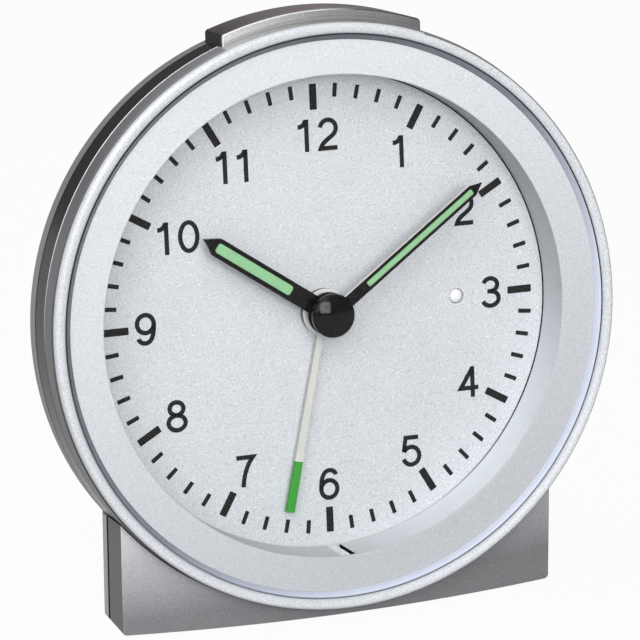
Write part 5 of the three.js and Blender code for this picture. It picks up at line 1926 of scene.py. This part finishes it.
# %% Drive the screws
def screw(node, head_r, head_h, shank_r, shank_l, place):
    """A screw whose head's face is at the origin of place and whose shank runs to minus z."""
    values = {
        "Head Radius": head_r,
        "Head Height": head_h,
        "Shank Radius": shank_r,
        "Shank Length": shank_l,
        "Metal": steel,
    }
    stands_for(grown(node + "_driven", screw_tree, values, place), node, steel)


face_back = Matrix.Rotation(math.pi, 4, "X")
head_face = INNER_BACK - 0.1 - 1.5
for k, (x, y) in enumerate(SCREW_PLACES):
    place = ON_DIAL @ Matrix.Translation((x, y, head_face)) @ face_back
    screw(f"case_screw_{k + 1}", head_r=2, head_h=1.5, shank_r=0.9, shank_l=20.4, place=place)
for side, name in ((-1, "left"), (1, "right")):
    spot = Matrix.Translation((side * BASE_SCREW[0], 2, BASE_SCREW[1]))
    place = ON_STAND @ spot @ Matrix.Rotation(-math.pi / 2, 4, "X")
    screw(f"base_screw_{name}", head_r=2, head_h=1.2, shank_r=0.7, shank_l=5, place=place)
for k, side in enumerate((-1, 1)):
    spot = Matrix.Translation((side * FOOT_SCREW[0], FOOT_SCREW[1], STAND_FLOOR + 0.4))
    place = ON_STAND @ spot @ face_back
    screw(f"foot_screw_{k + 1}", head_r=2, head_h=1.2, shank_r=0.8, shank_l=8.7, place=place)

# %% [markdown]
# Battery
#
# With the door slid out, the cell shows. It is a turned can in a printed sleeve: here a plain blue
# one with a copper-coloured end, and a bare steel cap and base.

# %% Turn the battery
sleeve_blue = paint(
    "sleeve_blue", level(255, (0.1, 0.22, 0.5)), level(255, (0.12, 0.25, 0.55)), 0.25, metallic=0.2
)
sleeve_end = paint(
    "sleeve_end", level(205, (1, 0.66, 0.42)), level(215, (1, 0.68, 0.44)), 0.3, metallic=0.6
)
BATTERY_START = -22.1
SLEEVE_FROM = 0.4
SLEEVE_TO = 49.35
COPPER_FROM = 38
cell_corners = [
    (0, 0),
    (6.4, 0),
    (6.4, 0.3),
    (7.25, 0.3),
    (7.25, 49.3),
    (6.2, 49.5),
    (2.7, 49.5),
    (2.7, 50.5),
    (0, 50.5),
]
cell_start = Matrix.Translation((BATTERY_START, BATTERY_Y, BATTERY_Z))
cell_place = ON_DIAL @ cell_start @ Matrix.Rotation(math.pi / 2, 4, "Y")
cell = turned("battery_cell", rounded(cell_corners, 0.3), cell_place, 96)
stands_for(cell, "battery", sleeve_blue, sleeve_end, steel)


def cell_finish(at, way):
    if SLEEVE_FROM <= at.z <= SLEEVE_TO:
        return int(at.z > COPPER_FROM)
    return 2


finish_faces(cell, cell_place, cell_finish)

# %% [markdown]
# Springs under the snooze bar
#
# Two wire springs stand on the slot's floor and lift the bar. Their turns are right in the packed
# model, so each one is a copy of its node. The imported mesh is loose triangles, and the last step
# of every mesh merges their corners first.

# %% Springs copied from their nodes
for side in ("left", "right"):
    node = f"snooze_spring_{side}"
    spring_bm = bmesh.new()
    spring_bm.from_mesh(frame["nodes"][node].data)
    spring = finish_mesh(spring_bm, f"snooze_coil_{side}", Matrix.Identity(4))
    stands_for(spring, node, steel)
    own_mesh(spring)

# %% [markdown]
# Pieces kept as they are
#
# The wheels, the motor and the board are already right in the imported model, down to the teeth. They
# keep their meshes and get their real finishes.

# %% Finishes for the kept nodes
kept = {
    nylon: ["minute_wheel", "hour_wheel", "alarm_wheel", "intermediate_wheel", "transfer_wheel"],
    steel: ["minute_arbor", "stator", "coil_core", "battery_spring", "battery_contact"],
    brass: ["alarm_arbor"],
    copper_x: ["motor_coil"],
    copper_z: ["antenna_coil"],
    ferrite: ["antenna_rod", "rotor"],
    grey_moulded: ["movement_plate", "movement_case", "snooze_switch"],
    board_green: ["circuit_board"],
    black_lacquer: ["buzzer"],
    white_moulded: ["dial_led", "light_guide"],
}
for finish, names in kept.items():
    for name in names:
        mesh = frame["nodes"][name].data
        mesh.materials.clear()
        mesh.materials.append(finish)
dressed = sum(kept.values(), [])
bare = [n for n, o in frame["nodes"].items() if not o.hide_render and n not in dressed]
print("kept nodes:", len(dressed), "without a finish:", bare)

# %% [markdown]
# Floor
#
# The photograph shows the clock on plain white. The floor is white to the camera, to reflections
# and through clear plastic, while its own shading is a mid grey: that keeps a soft shadow under
# the clock and keeps the floor from lighting the clock from below.


# %% Lay the floor
def whitened(tree, shader, share):
    """Mixes plain white into the shader for the camera, reflections and clear plastic."""
    path = tree.nodes.new("ShaderNodeLightPath")
    seen = math_node(tree, "MAXIMUM", path.outputs["Is Camera Ray"], path.outputs["Is Glossy Ray"])
    seen = math_node(tree, "MAXIMUM", seen, path.outputs["Is Transmission Ray"])
    white = add_node(tree, "ShaderNodeEmission", Color=(1, 1, 1, 1), Strength=1)
    mix = add_node(tree, "ShaderNodeMixShader", Fac=math_node(tree, "MULTIPLY", seen, share))
    tree.links.new(shader, mix.inputs[1])
    tree.links.new(white.outputs[0], mix.inputs[2])
    return mix.outputs[0]


white_floor, floor_tree, floor_shader = new_material("white_floor")
floor_shader.inputs["Base Color"].default_value = level(175)
floor_shader.inputs["Roughness"].default_value = 0.9
floor_shader.inputs["Specular IOR Level"].default_value = 0.0
floor_look = whitened(floor_tree, floor_shader.outputs[0], 0.965)
floor_tree.links.new(floor_look, floor_tree.nodes["Material Output"].inputs["Surface"])
floor_bm = bmesh.new()
corners = [floor_bm.verts.new((x, y, -0.0002)) for x, y in ((-3, -3), (3, -3), (3, 3), (-3, 3))]
floor_bm.faces.new(corners)
floor = finish_mesh(floor_bm, "floor", Matrix.Identity(4))
floor.data.materials.append(white_floor)

# %% [markdown]
# Light
#
# The room itself is a dim, even grey, so that shaded sides stay shaded. The main lamp is a large
# soft box, close by, high and to the left: it brightens the top of the ring more than its foot and
# leaves the upper part of the dial in the soft shadow of its wall. A smaller one, farther away,
# fills from the front. A third hangs at the upper left, just behind the dial's plane: it passes the
# dial and the ring and brightens only the outer flanks of bezel, bands and snooze bar.

# %% Hang the lamps
world = bpy.data.worlds.new("studio")
bpy.context.scene.world = world
world.use_nodes = True
room = world.node_tree.nodes["Background"]
room.inputs["Color"].default_value = (1, 1, 1, 1)
room.inputs["Strength"].default_value = 0.15


def soft_lamp(name, place, size, power):
    """A square area lamp that faces the clock."""
    data = bpy.data.lights.new(name, "AREA")
    data.shape = "SQUARE"
    data.size = size
    data.energy = power
    lamp = bpy.data.objects.new(name, data)
    lamp.location = place
    towards = dial_middle - Vector(place)
    lamp.rotation_euler = towards.to_track_quat("-Z", "Y").to_euler()
    bpy.context.scene.collection.objects.link(lamp)
    print(name, "hangs", round(towards.length, 2), "m away")


soft_lamp("soft_box", (-0.21, -0.44, 0.4), 0.6, 3.4)
soft_lamp("front_lamp", (-0.01, -0.83, 0.27), 0.32, 2.9)
soft_lamp("rim_lamp", (-0.36, 0.16, 0.52), 0.3, 2.2)

# %% [markdown]
# View transform
#
# The colours are shown as they are computed, so the view transform is Standard.

bpy.context.scene.view_settings.view_transform = "Standard"
